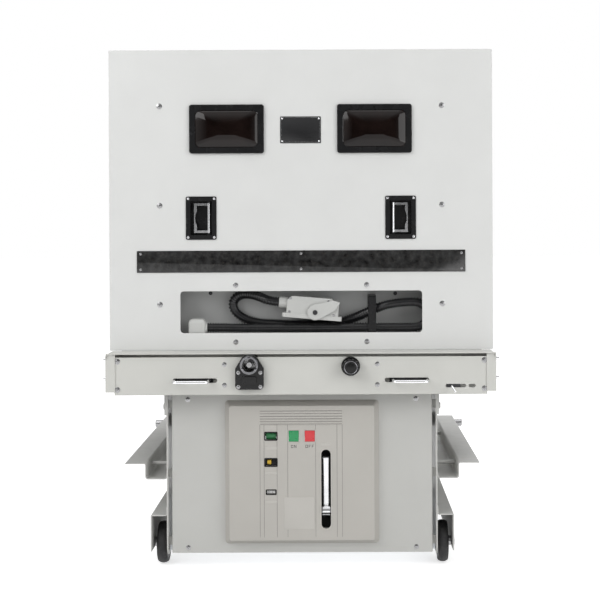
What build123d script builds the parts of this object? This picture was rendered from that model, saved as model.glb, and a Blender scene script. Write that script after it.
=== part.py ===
"""Withdrawable indoor vacuum circuit breaker on a wheeled truck, for a 40.5 kV class metal-clad cubicle.

Frame: millimetres, +Z up, the operator stands at -Y and looks along +Y into the cubicle.
Origin: on the floor, under the middle of the breaker's outline.
"""
import math
import os

from build123d import *

# ---------------------------------------------------------------- driving sizes
truck_width = 1100.0          # crossbeam and front panel
deck_top_z = 630.0            # upper face of the chassis, on which the poles stand
deck_height = 118.0           # chassis depth below that face
deck_width = 1036.0
deck_length = 780.0
sheet = 3.0                   # general sheet steel
plate = 4.0                   # side plates

beam_depth = 72.0             # crossbeam, front plate to rear edge
beam_bottom_z = 520.0
beam_plate_drop = 9.0         # the front plate hangs below the channel
beam_plate_inset = 9.0        # the plate's front lies behind the channel's lip
beam_gap = 4.0                # crossbeam's rear edge to the front panel
rack_travel = 200.0           # test position to service position
screw_lead = 10.0             # lead screw advance per turn

panel_height = 862.0
panel_return = 28.0
window_width, window_height = 214.0, 140.0
window_pitch, window_z = 424.0, 1265.0
cup_width, cup_height, cup_depth = 88.0, 124.0, 34.0
cup_pitch, cup_z = 572.0, 1010.0
tray_width, tray_height, tray_depth = 694.0, 120.0, 96.0
tray_overhang = 39.0          # inside of the tray beyond each end of the opening
tray_z = 740.0
tray_corner = 10.0
post_x = 428.0                # middle of the panel posts, screwed through their inner flanges

box_width = 778.0             # outside of the two side plates
box_setback = 80.0            # crossbeam's front to the box's front edge
box_length = 760.0
box_bottom_z = 40.0
front_plate_gap = 10.0        # dark gap each side of the box's front plate
fascia_width, fascia_height, fascia_rise = 414.0, 384.0, 25.0
fascia_bevel = 14.0
fascia_bottom_z = 88.0
fascia_wall = 3.0

rail_top_z = 304.0
rail_web_height = 47.0
rail_web_x = 453.0            # outside of the web
rail_outer_x = 511.0          # outside of the top flange
rail_setback = 92.0
rail_length = 862.0
bend_radius = 6.0

wheel_diameter, wheel_width = 120.0, 32.0
wheel_side_gap = 3.5
wheel_end_inset = 86.0        # axle to the end of the side plate
housing_top_z = 156.0
housing_bottom_z = 51.0
axle_radius = 10.0
running_gap = 0.1
seat_gap = 0.3                # left between sheets that are screwed together

pole_pitch = 300.0
pole_setback = 336.0          # crossbeam's front to the pole axes
cylinder_radius, cylinder_wall = 100.0, 8.0
cylinder_height = 806.0
lower_arm_z, upper_arm_z = 884.0, 1330.0
arm_reach = 640.0             # pole axis to the tulip's mouth
arm_radius = 24.0
sleeve_radius = 33.0
tulip_radius = 24.5           # stub that the tulip grips
tulip_length = 62.0
tulip_fingers = 16
interrupter_radius, interrupter_length = 60.0, 330.0
interrupter_wall = 8.0
stem_radius = 16.0
contact_radius = 36.0
contact_gap = 20.0            # open distance between the contacts
contact_rest = 0.2            # left between the contacts at the closed limit

shaft_radius = 20.0
crank_radius = 60.0
shaft_z = 400.0

handle_slot_length, handle_slot_height = 125.0, 13.0
handle_slot_z = 552.0
handle_slot_inner_x = 236.0
handle_length, handle_rod = 104.0, 9.0
handle_reach = 36.0
handle_travel = 18.0
lock_bolt_radius = 6.0
lock_bolt_z = (610.0, 556.0)
lock_bolt_reach = 11.0
hub_x, hub_z = -144.0, 598.0
hub_width, hub_drop, hub_reach = 80.0, 68.0, 26.0
hub_bore = 19.0
screw_radius = 12.0
crank_end_radius = 9.0        # plain end that takes the racking crank
knob_x, knob_z, knob_radius, knob_reach = 140.0, 592.0, 26.5, 34.0

conduit_diameter = 28.5

# ---------------------------------------------------------------- derived places
front_reach = max(handle_reach, hub_reach, knob_reach)
overall_depth = front_reach + pole_setback + arm_reach
beam_y = front_reach - overall_depth / 2            # front edge of the crossbeam's lip
panel_y = beam_y + beam_depth + beam_gap            # front face of the upper panel
box_y = beam_y + box_setback                        # front edges of the side plates
box_end_y = box_y + box_length
pole_y = beam_y + pole_setback
rail_y = beam_y + rail_setback
deck_y = panel_y
deck_bottom_z = deck_top_z - deck_height
beam_top_z = deck_top_z
half_truck = truck_width / 2
half_box = box_width / 2
plate_y = beam_y + beam_plate_inset                 # front face of the crossbeam's plate
panel_top_z = deck_top_z + panel_height
front_plate_y = box_y + 6.0                         # front face of the box's front plate
fascia_y = front_plate_y - fascia_rise              # front face of the moulded fascia
fascia_z = fascia_bottom_z + fascia_height / 2
pole_xs = (-pole_pitch, 0.0, pole_pitch)
axle_z = wheel_diameter / 2
axle_ys = (box_y + wheel_end_inset, box_end_y - wheel_end_inset)
wheel_x = half_box + wheel_side_gap + wheel_width / 2
housing_x = wheel_x + wheel_width / 2 + 12.0        # outside of the wheel housing
shaft_y = pole_y - crank_radius
stroke = contact_gap - contact_rest
crank_tilt = math.degrees(math.asin(stroke / 2 / crank_radius))
interrupter_top_z = upper_arm_z - 27.0
interrupter_bottom_z = interrupter_top_z - interrupter_length
contact_z = interrupter_bottom_z + interrupter_length * 0.55   # underside of the fixed contact


# ---------------------------------------------------------------- helpers
def block(x0, x1, y0, y1, z0, z1):
    """Box between two corners."""
    return Pos((x0 + x1) / 2, (y0 + y1) / 2, (z0 + z1) / 2) * Box(x1 - x0, y1 - y0, z1 - z0)


def rod_x(radius, x0, x1, y, z):
    """Cylinder along X."""
    return Pos((x0 + x1) / 2, y, z) * Rot(0, 90, 0) * Cylinder(radius, x1 - x0)


def rod_y(radius, x, y0, y1, z):
    """Cylinder along Y."""
    return Pos(x, (y0 + y1) / 2, z) * Rot(90, 0, 0) * Cylinder(radius, y1 - y0)


def rod_z(radius, x, y, z0, z1):
    """Cylinder along Z."""
    return Pos(x, y, (z0 + z1) / 2) * Cylinder(radius, z1 - z0)


def mirrored(shape):
    """The same piece on the other side of the truck."""
    return mirror(shape, Plane.YZ)


def bent_strip(points, thickness, radius, plane, length):
    """Sheet bent along an open line of corners: thickened to its left and extruded along the plane's normal."""
    line = FilletPolyline(*points, radius=radius)
    outline = offset(line, amount=thickness, side=Side.LEFT, closed=True)
    return extrude(plane * make_face(outline.edges()), length)


def turned(profile, x, y, z0=0.0):
    """Revolves (radius, height) points about a vertical axis at x, y."""
    face = make_face(Polyline(*[(r, h) for r, h in profile], close=True))
    return Pos(x, y, z0) * revolve(Plane.XZ * face, Axis.Z)


def front_cut(width, height, x, z, y, depth, corner=0.0):
    """Rounded rectangular tool that passes through a front-facing sheet at y."""
    outline = RectangleRounded(width, height, corner) if corner else Rectangle(width, height)
    return extrude(Plane(origin=(x, y, z), z_dir=(0, 1, 0), x_dir=(1, 0, 0)) * outline, depth, both=True)


def flatten(items):
    """Solids of nested lists, one after another."""
    found = []
    for item in items:
        found += flatten(item) if isinstance(item, (list, tuple)) else [item]
    return found


def save(name, *solids):
    """Writes one named node as a STEP file."""
    found = flatten(solids)
    shape = found[0] if len(found) == 1 else Compound(children=found)
    export_step(shape, f"parts/{name}.step")


# ---------------------------------------------------------------- lower box
def side_plate():
    """Left-hand plate of the mechanism box, with a lightening window towards the back and a bearing hole."""
    body = block(-half_box, -half_box + plate, box_y, box_end_y, box_bottom_z, deck_bottom_z)
    front_toe = body.edges().filter_by(Axis.X).sort_by(lambda e: (e.center().Z, e.center().Y))[0]
    body = chamfer(front_toe, 18)
    for axle_y in axle_ys:
        body -= rod_x(axle_radius + running_gap, -half_box - 1, -half_box + plate + 1, axle_y, axle_z)
    body -= rod_x(shaft_radius + 0.3, -half_box - 1, -half_box + plate + 1, shaft_y, shaft_z)
    window = Plane(origin=(-half_box, pole_y + 190, shaft_z - 60), z_dir=(1, 0, 0), x_dir=(0, 1, 0))
    return body - extrude(window * RectangleRounded(150, 120, 20), plate * 2, both=True)


def box_front_plate():
    """Removable front sheet of the box with side returns and the aperture behind the fascia."""
    half = half_box - plate - front_plate_gap
    outline = [(-half, 20), (-half, 0), (half, 0), (half, 20)]
    base = Plane(origin=(0, front_plate_y, box_bottom_z + 7), z_dir=(0, 0, 1), x_dir=(1, 0, 0))
    body = bent_strip(outline, sheet, 4, base, deck_bottom_z - box_bottom_z - 14)
    for side in (-1, 1):
        near, far = sorted((side * (half - 1), side * (half + front_plate_gap - 0.3)))
        for z in (box_bottom_z + 40, 275, deck_bottom_z - 40):
            body += block(near, far, front_plate_y + 12, front_plate_y + 17, z - 12, z + 12)
    aperture = front_cut(fascia_width - 60, fascia_height - 60, 0, fascia_z, front_plate_y, 12, 12)
    return body - aperture


def box_base_plate():
    """Floor of the box between the side plates, with upturned front and rear edges and a drain row."""
    half = half_box - plate - 1
    y0, y1 = box_y + 30, box_end_y - 12
    body = bent_strip([(y0, 30), (y0, 0), (y1, 0), (y1, 30)], sheet, 4,
                      Plane(origin=(-half, 0, box_bottom_z + 8), x_dir=(0, 1, 0), z_dir=(1, 0, 0)), 2 * half)
    for axle_y in axle_ys:
        for side in (-1, 1):
            body -= block(side * half - 26, side * half + 26, axle_y - 26, axle_y + 26, 0, box_bottom_z + 20)
    return body


def guide_rail():
    """Z-section rail that carries the truck in the cubicle, lipped against the left side plate."""
    top, foot = rail_top_z, rail_top_z - rail_web_height
    web = -rail_web_x + sheet
    points = [(-half_box - sheet, foot + 16), (-half_box - sheet, foot + sheet), (web, foot + sheet),
              (web, top), (-rail_outer_x, top)]
    base = Plane(origin=(0, rail_y + rail_length, 0), x_dir=(1, 0, 0), z_dir=(0, -1, 0))
    return bent_strip(points, sheet, bend_radius, base, rail_length)


def rail_spacers():
    """Spacer rods that tie the rail's web to the side plate."""
    rods = []
    for offset_y in (110.0, 610.0):
        rod = rod_x(6, -rail_web_x + sheet + 0.05, -half_box - 0.05, rail_y + offset_y, rail_top_z - 20)
        collar = rod_x(9, -half_box - 10, -half_box - 0.05, rail_y + offset_y, rail_top_z - 20)
        rods.append(rod + collar)
    return rods


def rear_guide_pin():
    """Stub that runs in the cubicle's side channel, in its block under the rail's flange."""
    y = rail_y + rail_length - 46
    seat_top = rail_top_z - sheet - 0.05
    seat = block(-rail_outer_x + 4, -rail_web_x - 0.5, y - 22, y + 22, seat_top - 30, seat_top)
    seat = chamfer(seat.edges().filter_by(Axis.Y).group_by(Axis.Z)[-1].sort_by(Axis.X)[-1], 5)
    seat = fillet(seat.edges().filter_by(Axis.Y).group_by(Axis.Z)[0], 6)
    pin = turned([(0, 0), (13, 0), (13, 32), (11, 34), (0, 34)], 0, 0)
    return seat + Pos(-rail_outer_x + 4, y, rail_top_z - sheet - 15) * Rot(0, -90, 0) * pin


def wheel_housing():
    """Channel over the left wheels, lipped to the side plate."""
    points = [(-half_box - sheet, housing_top_z + 22), (-half_box - sheet, housing_top_z),
              (-housing_x, housing_top_z), (-housing_x, housing_bottom_z)]
    line = FilletPolyline(*[(x, -z) for x, z in points], radius=3)
    outline = offset(line, amount=sheet, side=Side.RIGHT, closed=True)
    base = Plane(origin=(0, box_y + 6, 0), x_dir=(1, 0, 0), z_dir=(0, 1, 0))
    body = extrude(base * make_face(outline.edges()), box_length - 12)
    for axle_y in axle_ys:
        body -= rod_x(axle_radius + running_gap, -housing_x - 1, -housing_x + sheet + 1, axle_y, axle_z)
    return body


def wheel_axle(axle_y):
    """Shouldered axle bolt through the side plate and the housing, with its inner nut."""
    bolt = rod_x(axle_radius, -housing_x - 1.5, -half_box + plate + 16, axle_y, axle_z)
    head = rod_x(16, -housing_x - 7, -housing_x - 0.05, axle_y, axle_z)
    nut = Pos(-half_box + plate + 5.05, axle_y, axle_z) * Rot(0, 90, 0) * extrude(
        RegularPolygon(15, 6), 5, both=True)
    spacer = rod_x(axle_radius + 4, -half_box - wheel_side_gap + 0.3, -half_box - 0.05, axle_y, axle_z)
    outer = wheel_x + wheel_width / 2
    collar = rod_x(axle_radius + 4, -housing_x + sheet + 0.05, -outer - 0.3, axle_y, axle_z)
    return bolt + head + nut + spacer + collar


def wheel(side, axle_y):
    """Cast hub with spokes' recess and a crowned tyre, on the side given by -1 or 1."""
    half, tyre = wheel_width / 2, wheel_diameter / 2
    rim = tyre - 15
    hub = turned([(axle_radius + running_gap, -half), (20, -half), (22, -half + 8), (rim - 8, -half + 10),
                  (rim - 6, -half + 2), (rim, -half + 2), (rim, half - 2), (rim - 6, half - 2),
                  (rim - 8, half - 10), (22, half - 8), (20, half), (axle_radius + running_gap, half)], 0, 0)
    crown = make_face(Polyline((rim + 0.02, -half + 3), (tyre - 6, -half + 1)).edges()
                      + ThreePointArc((tyre - 6, -half + 1), (tyre, 0), (tyre - 6, half - 1)).edges()
                      + Polyline((tyre - 6, half - 1), (rim + 0.02, half - 3), (rim + 0.02, -half + 3)).edges())
    rubber = revolve(Plane.XZ * crown, Axis.Z)
    place = Pos(side * wheel_x, axle_y, axle_z) * Rot(0, 90, 0)
    return [place * hub, place * rubber]


def hanger_angle():
    """Angle that hangs the box from the chassis, outside the left side plate, with its bolt heads."""
    leg = 68.0
    points = [(-half_box, deck_bottom_z - leg), (-half_box, deck_bottom_z), (-half_box - leg, deck_bottom_z)]
    base = Plane(origin=(0, box_y + box_length, 0), x_dir=(1, 0, 0), z_dir=(0, -1, 0))
    line = FilletPolyline(*points, radius=7)
    outline = offset(line, amount=6, side=Side.LEFT, closed=True)
    body = extrude(base * make_face(outline.edges()), box_length)
    for offset_y in (24.0, 270.0, box_length - 260.0, box_length - 30.0):
        head = Pos(-half_box - 8.5, box_y + offset_y, deck_bottom_z - 46) * Rot(0, 90, 0)
        body += head * extrude(RegularPolygon(9, 6), 2.5, both=True)
    return body


# ---------------------------------------------------------------- chassis
def chassis_frame():
    """Welded frame: two side channels, front and rear cross members and two middle members."""
    half = deck_width / 2
    z0, z1 = deck_bottom_z, deck_top_z - sheet
    y0, y1 = deck_y, deck_y + deck_length
    side_points = [(-half + 40, z0), (-half, z0), (-half, z1 - sheet), (-half + 40, z1 - sheet)]
    base = Plane(origin=(0, y1, 0), x_dir=(1, 0, 0), z_dir=(0, -1, 0))
    line = FilletPolyline(*side_points, radius=5)
    outline = offset(line, amount=sheet, side=Side.RIGHT, closed=True)
    channel = extrude(base * make_face(outline.edges()), deck_length)
    frame = channel + mirrored(channel)
    inner = half - sheet
    front = block(-inner, inner, y0, y0 + 8, z0 + 2, z1)
    rear = block(-inner, inner, y1 - 8, y1, z0 + 2, z1)
    front -= rod_y(screw_radius + 8, hub_x, y0 - 1, y0 + 9, hub_z)
    for side in (-1, 1):
        front -= block(side * guide_bar_x - 9, side * guide_bar_x + 9, y0 - 1, y0 + 9,
                       guide_bar_z - 17, guide_bar_z + 17)
    frame += front + rear
    for offset_y in (150.0, 390.0):
        frame += block(-inner, inner, y0 + offset_y, y0 + offset_y + 8, z1 - 44, z1) - block(
            hub_x - 20, hub_x + 20, y0 + offset_y - 1, y0 + offset_y + 9, z1 - 60, z1 - 2) - sum_of(
            [block(s * guide_bar_x - 9, s * guide_bar_x + 9, y0 + offset_y - 1, y0 + offset_y + 9,
                   guide_bar_z - 17, guide_bar_z + 17) for s in (-1, 1)])
    nut = block(hub_x - 24, hub_x + 24, y0 + 8, y0 + 44, hub_z - 22, hub_z + 22)
    return frame + (nut - rod_y(screw_radius + 0.3, hub_x, y0 - 1, y0 + 60, hub_z))


def sum_of(shapes):
    """Fuses a list of solids."""
    total = shapes[0]
    for shape in shapes[1:]:
        total += shape
    return total


guide_bar_x, guide_bar_z = 440.0, 565.0


def deck_plate():
    """Top sheet of the chassis with an opening under each pole."""
    half = deck_width / 2
    body = block(-half, half, deck_y, deck_y + deck_length, deck_top_z - sheet, deck_top_z)
    body = fillet(body.edges().filter_by(Axis.Z), 12)
    for x in pole_xs:
        body -= rod_z(cylinder_radius - cylinder_wall - 14, x, pole_y, deck_top_z - 9, deck_top_z + 9)
    return body


# ---------------------------------------------------------------- front panel
def front_panel():
    """Large front sheet with returns on four sides and its window, handle and tray openings."""
    half = half_truck
    z0, z1 = deck_top_z + seat_gap, panel_top_z
    body = block(-half, half, panel_y, panel_y + panel_return, z0, z1)
    body = fillet(body.edges().filter_by(Axis.Y), 4)
    body = offset(body, amount=-sheet, openings=body.faces().sort_by(Axis.Y)[-1])
    for side in (-1, 1):
        body -= front_cut(window_width - 24, window_height - 24, side * window_pitch / 2, window_z, panel_y, 9, 10)
        body -= front_cut(cup_width - 20, cup_height - 20, side * cup_pitch / 2, cup_z, panel_y, 9, 5)
    return body - front_cut(tray_width, tray_height, 0, tray_z, panel_y, 9, tray_corner)


def panel_post():
    """Hat-section post behind the left screw line, from the deck to the panel's head."""
    y0 = panel_y + sheet
    points = [(-post_x - 34, y0), (-post_x - 15, y0), (-post_x - 15, y0 + 26),
              (-post_x + 15, y0 + 26), (-post_x + 15, y0), (-post_x + 34, y0)]
    base = Plane(origin=(0, 0, deck_top_z + seat_gap + sheet), x_dir=(1, 0, 0), z_dir=(0, 0, 1))
    return bent_strip(points, 2.5, 3, base, panel_height - 60)


def window_bezel(side):
    """Moulded frame of an inspection window."""
    x = side * window_pitch / 2
    face = Plane(origin=(x, panel_y, window_z), z_dir=(0, -1, 0), x_dir=(1, 0, 0))
    body = extrude(face * RectangleRounded(window_width, window_height, 7), 9)
    body = chamfer(body.faces().sort_by(Axis.Y)[0].edges(), 2)
    collar = extrude(face * RectangleRounded(window_width - 26, window_height - 26, 9), -9)
    return body + collar - front_cut(window_width - 34, window_height - 34, x, window_z, panel_y, 20, 16)


def window_lens(side):
    """Domed tinted lens that bulges out of its bezel."""
    x = side * window_pitch / 2
    width, height = window_width - 34.4, window_height - 34.4
    back = Plane(origin=(x, panel_y - 1, window_z), z_dir=(0, -1, 0), x_dir=(1, 0, 0))
    body = loft([back * RectangleRounded(width, height, 15.8),
                 back.offset(12) * RectangleRounded(width, height, 15.8),
                 back.offset(17) * RectangleRounded(width - 24, height - 18, 22)], ruled=True)
    return body


def handle_cup(side):
    """Pressed cup with a flange, a finger well and two ears for the folding bail."""
    x = side * cup_pitch / 2
    face = Plane(origin=(x, panel_y, cup_z), z_dir=(0, -1, 0), x_dir=(1, 0, 0))
    flange = extrude(face * RectangleRounded(cup_width, cup_height, 5), 2.5)
    well = extrude(face * RectangleRounded(cup_width - 21, cup_height - 21, 4), -cup_depth)
    body = flange + well
    body -= front_cut(cup_width - 26, cup_height - 26, x, cup_z, panel_y - 2.5 + (cup_depth) / 2,
                      (cup_depth + 0.1) / 2, 3)
    hinge_x, hinge_y = bail_hinge(side)
    for ear_z in (-1, 1):
        z = cup_z + ear_z * (cup_height / 2 - 13 - 3)
        ear = block(hinge_x - 5, hinge_x + 5, hinge_y - 5, panel_y + cup_depth - 1, z - 3, z + 3)
        body += ear - rod_z(2.6, hinge_x, hinge_y, z - 4, z + 4)
    return body


def bail_hinge(side):
    """Hinge point of a bail, at the inner side of its cup."""
    return side * (cup_pitch / 2 - cup_width / 2 + 23), panel_y + 8


def handle_bail(side):
    """Folding pull: two arms, a waisted grip and the hinge pin."""
    hinge_x, hinge_y = bail_hinge(side)
    inner = cup_height / 2 - 13 - 6 - 0.5
    reach = 42.0
    face = Plane(origin=(hinge_x, hinge_y - 2, cup_z), z_dir=(0, 1, 0), x_dir=(side, 0, 0))
    outer = Rectangle(reach, 2 * inner, align=(Align.MIN, Align.CENTER))
    arms = outer - Pos(-1, 0) * Rectangle(reach - 7, 2 * inner - 14, align=(Align.MIN, Align.CENTER))
    waist = Pos(reach - 8 - 34, 0) * Circle(39.5) & Rectangle(reach - 3, 2 * inner - 14, align=(Align.MIN, Align.CENTER))
    sketch = arms - waist
    body = extrude(face * sketch, 4)
    tube = rod_z(4, hinge_x, hinge_y, cup_z - inner, cup_z + inner)
    pin = rod_z(2.5, hinge_x, hinge_y, cup_z - inner - 6, cup_z + inner + 6)
    return body + tube + pin


def connector_tray():
    """Recessed tray behind the long opening, flanged onto the back of the panel."""
    y0 = panel_y + sheet
    half = tray_width / 2 + tray_overhang + 2
    outer = block(-half, half, y0, y0 + tray_depth,
                  tray_z - tray_height / 2 - 6, tray_z + tray_height / 2 + 6)
    outer = fillet(outer.edges().filter_by(Axis.Y), 8)
    outer = offset(outer, amount=-2, openings=outer.faces().sort_by(Axis.Y)[0])
    flange = block(-half, half, y0, y0 + 2,
                   tray_z - tray_height / 2 - 32, tray_z + tray_height / 2 + 32)
    flange -= front_cut(2 * half - 4, tray_height + 8, 0, tray_z, y0 + 1, 9, 6)
    return outer + flange


# ---------------------------------------------------------------- secondary connector and its conduit
tray_back_y = panel_y + sheet + tray_depth - 2
tray_floor_z = tray_z - tray_height / 2 - 4
conduit_y = panel_y + 30.0
elbow_x = -301.0
plug_x, plug_z, plug_tilt = 33.0, 756.0, -5.0
plug_y = panel_y + 34.0
clamp_x = 204.0
conduit_radius = conduit_diameter / 2
conduit_low_z = tray_floor_z + conduit_radius + 1.0
conduit_high_z = conduit_low_z + 72.0
plug_gland = (-78.0, 776.0)
conduit_points = (
    (elbow_x + 29, conduit_y, conduit_low_z + 2), (elbow_x + 70, conduit_y, conduit_low_z + 2),
    (elbow_x + 130, conduit_y + 1, conduit_low_z), (elbow_x + 190, conduit_y, conduit_low_z + 0.5),
    (elbow_x + 250, conduit_y + 1, conduit_low_z - 0.3), (elbow_x + 310, conduit_y, conduit_low_z + 0.3),
    (elbow_x + 370, conduit_y + 1, conduit_low_z - 0.2), (elbow_x + 430, conduit_y, conduit_low_z + 1),
    (elbow_x + 490, conduit_y + 1, conduit_low_z + 1), (elbow_x + 550, conduit_y + 1, conduit_low_z),
    (elbow_x + 598, conduit_y, conduit_low_z + 0.3), (elbow_x + 643, conduit_y, conduit_low_z + 0.5),
    (elbow_x + 665, conduit_y + 1, conduit_low_z + 22), (elbow_x + 665, conduit_y + 1, conduit_low_z + 53),
    (elbow_x + 643, conduit_y + 2, conduit_low_z + 74.5), (elbow_x + 592, conduit_y + 3, conduit_low_z + 73),
    (elbow_x + 540, conduit_y + 6, conduit_low_z + 65), (elbow_x + 490, conduit_y + 24, conduit_low_z + 42),
    (elbow_x + 430, conduit_y + 47, conduit_low_z + 15), (elbow_x + 370, conduit_y + 47, conduit_low_z + 6),
    (elbow_x + 300, conduit_y + 47, conduit_low_z + 5), (elbow_x + 230, conduit_y + 47, conduit_low_z + 8),
    (elbow_x + 165, conduit_y + 47, conduit_low_z + 12), (elbow_x + 124, conduit_y + 47, conduit_low_z + 27),
    (elbow_x + 99, conduit_y + 47, conduit_low_z + 52), (elbow_x + 100, conduit_y + 44, conduit_low_z + 80),
    (elbow_x + 124, conduit_y + 37, conduit_low_z + 97), (elbow_x + 156, conduit_y + 25, conduit_low_z + 97),
    (elbow_x + 184, conduit_y + 12, conduit_low_z + 88), (elbow_x + 207, conduit_y + 4.2, conduit_low_z + 78),
    (-65.2, plug_y, 766.7))


def corner_radii(points):
    """Radius of each corner: as large as its two runs allow."""
    vectors = [Vector(*p) for p in points]
    radii = []
    for before, here, after in zip(vectors, vectors[1:], vectors[2:]):
        first, second = here - before, after - here
        turn = math.radians(first.get_angle(second))
        radii.append(0.45 * min(first.length, second.length) / math.tan(turn / 2))
    return radii


def conduit():
    """Corrugated conduit from its elbow, along the tray, round the end loop and back to the rear bushing."""
    radii = corner_radii(conduit_points)
    path = FilletPolyline(*conduit_points, radius=radii)
    start = Plane(origin=path @ 0, z_dir=path % 0)
    return sweep(start * Circle(conduit_radius), path=path)


def conduit_elbow():
    """Moulded elbow that brings the conduit out of the tray's floor."""
    z = conduit_low_z + 2
    face = Plane(origin=(elbow_x, conduit_y, tray_floor_z + 0.1), z_dir=(0, 0, 1))
    body = extrude(face * RectangleRounded(50, 42, 8), 44)
    body = fillet(body.faces().sort_by(Axis.Z)[-1].edges().filter_by(Axis.Y), 14)
    body = fillet(body.faces().sort_by(Axis.Y)[0].edges().filter_by(Axis.X), 5)
    nut = rod_x(16.5, elbow_x + 24, elbow_x + 29, conduit_y, z)
    return body + nut


def conduit_clamp():
    """Two-bar clamp that holds the two runs of conduit on the tray's back."""
    y0, y1 = conduit_y - conduit_radius - 3.5, tray_back_y
    z0, z1 = tray_floor_z + 0.2, conduit_high_z + 21
    body = block(clamp_x - 11, clamp_x + 11, y0, y1, z0, z1)
    body = fillet(body.edges().filter_by(Axis.X), 4)
    hollow = block(clamp_x - 12, clamp_x + 12, y0 + 2.5, y1 - 3, z0 + 0.5, z1 - 3)
    return body - hollow


def plug_frame():
    """Local frame of the parked plug: x along the hood, z up, tilted in the tray."""
    return Pos(plug_x, plug_y, plug_z) * Rot(0, -plug_tilt, 0)


def secondary_plug():
    """Rectangular connector hood with its side gland, flange and lever pegs."""
    local = plug_frame()
    side = make_face(Polyline((-75, -28), (-75, 12), (-62, 24), (52, 24), (75, 6), (75, -28), close=True))
    hood = extrude(Plane.XZ * side, 22, both=True)
    hood = fillet(hood.edges().filter_by(Axis.Y).group_by(Axis.Z)[-1], 5)
    hood = fillet(hood.faces().sort_by(Axis.Y)[0].edges(), 2)
    base = extrude(Plane.XY.offset(-38) * RectangleRounded(172, 50, 6), 12)
    gland = rod_x(16, -98, -74, 0, 2)
    pegs = rod_y(6, 8, -29, 22, -18)
    return local * (hood + base + gland + pegs) + plug_bracket(local)


def plug_bracket(local):
    """Parking bracket that carries the plug on the tray's back wall."""
    arm = Pos(plug_x, 0, plug_z) * block(-60, 60, plug_y + 20, tray_back_y, -8, 8)
    return arm


def plug_lever():
    """Locking yoke of the plug, pivoted on the pegs."""
    local = plug_frame()
    yoke = make_face(Polyline((-6, 22), (50, 38), (70, 34), (56, 10), (16, -16), close=True))
    arm = Plane.XZ.offset(26) * (Circle(22) + yoke)
    web = extrude(arm, 3)
    web -= rod_y(6.3, 0, -40, -20, 0)
    return local * Pos(8, 0, -18) * web


# ---------------------------------------------------------------- fascia and its controls
button_x, button_z, button_width, button_height = 23.0, 386.0, 28.5, 31.0
flag_x, flag_z, flag_width, flag_height = -88.0, 386.0, 32.0, 19.5
charge_window_z, counter_z = 311.0, 226.0
lever_x, lever_slot_width = 69.0, 27.0
lever_slot_bottom_z, lever_slot_top_z = 121.0, 347.0
control_gap = 0.4


def mechanism_fascia():
    """Moulded cover of the mechanism with bevelled flanks, louvre grooves, windows and the charging slot."""
    plane = Plane(origin=(0, front_plate_y - 0.05, fascia_z), z_dir=(0, -1, 0), x_dir=(1, 0, 0))
    outside = loft([plane * RectangleRounded(fascia_width + 2 * fascia_bevel, fascia_height + 2 * fascia_bevel, 10),
                    plane.offset(fascia_rise) * RectangleRounded(fascia_width, fascia_height, 6)], ruled=True)
    inset = 2 * fascia_wall
    inside = loft([plane * RectangleRounded(fascia_width + 2 * fascia_bevel - inset,
                                            fascia_height + 2 * fascia_bevel - inset, 8),
                   plane.offset(fascia_rise - fascia_wall) * RectangleRounded(
                       fascia_width - inset, fascia_height - inset, 4)], ruled=True)
    body = outside - inside
    front = fascia_y - 0.05
    body -= front_cut(flag_width, flag_height, flag_x, flag_z, front, 5, 2)
    body -= front_cut(flag_width, flag_height, flag_x, charge_window_z, front, 5, 2)
    body -= front_cut(26, 11, flag_x, counter_z, front, 5, 1.5)
    slot_length = lever_slot_top_z - lever_slot_bottom_z
    body -= front_cut(lever_slot_width, slot_length, lever_x, lever_slot_bottom_z + slot_length / 2, front, 5,
                      lever_slot_width / 2 - 0.01)
    for side in (-1, 1):
        body -= front_cut(button_width + 2 * control_gap, button_height + 2 * control_gap,
                          side * button_x, button_z, front, 5, 1.5)
    for row in range(6):
        body -= front_cut(238, 1.2, 0, fascia_bottom_z + fascia_height - 14 - row * 8, front, 0.8)
    return body


def push_button(side):
    """Square button cap on its plunger."""
    cap = front_cut(button_width, button_height, side * button_x, button_z, fascia_y + 6, 8, 1.2)
    cap = fillet(cap.faces().sort_by(Axis.Y)[0].edges(), 0.8)
    return cap + rod_y(6, side * button_x, fascia_y + 13, mechanism_front_y - 8.5, button_z)


def position_flag():
    """Open and closed flag on its short spindle behind the upper window."""
    drum = rod_x(15, flag_x - 15, flag_x + 15, fascia_y + 21, flag_z) - rod_x(
        12.5, flag_x - 14, flag_x + 16, fascia_y + 21, flag_z)
    drum -= block(flag_x - 20, flag_x + 20, fascia_y + 25, fascia_y + 60, flag_z - 20, flag_z + 20)
    spokes = rod_x(5, flag_x - 15, flag_x + 15, fascia_y + 21, flag_z)
    spindle = rod_x(3, flag_x - 32, flag_x + 15, fascia_y + 21, flag_z)
    return drum + spokes + spindle


lever_pivot_y = fascia_y + 62.0
lever_pivot_z = 160.0
lever_length = 172.0
lever_rest_tilt = 17.0


def charging_lever():
    """Hand lever that charges the closing spring, stowed upright in its slot."""
    bar = block(-9, 9, -6, 6, 0, lever_length)
    bar = fillet(bar.edges().filter_by(Axis.Z), 3)
    bar = fillet(bar.faces().sort_by(Axis.Z)[-1].edges().filter_by(Axis.X), 2)
    boss = rod_x(17, -11, 11, 0, 0)
    place = Pos(lever_x, lever_pivot_y, lever_pivot_z) * Rot(lever_rest_tilt, 0, 0)
    return place * (bar + boss - rod_x(8.2, -20, 20, 0, 0))


# ---------------------------------------------------------------- spring mechanism
mechanism_front_y = box_y + 60.0
mechanism_rear_y = shaft_y + 70.0
cam_y, cam_z = shaft_y - 84.0, 262.0


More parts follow.
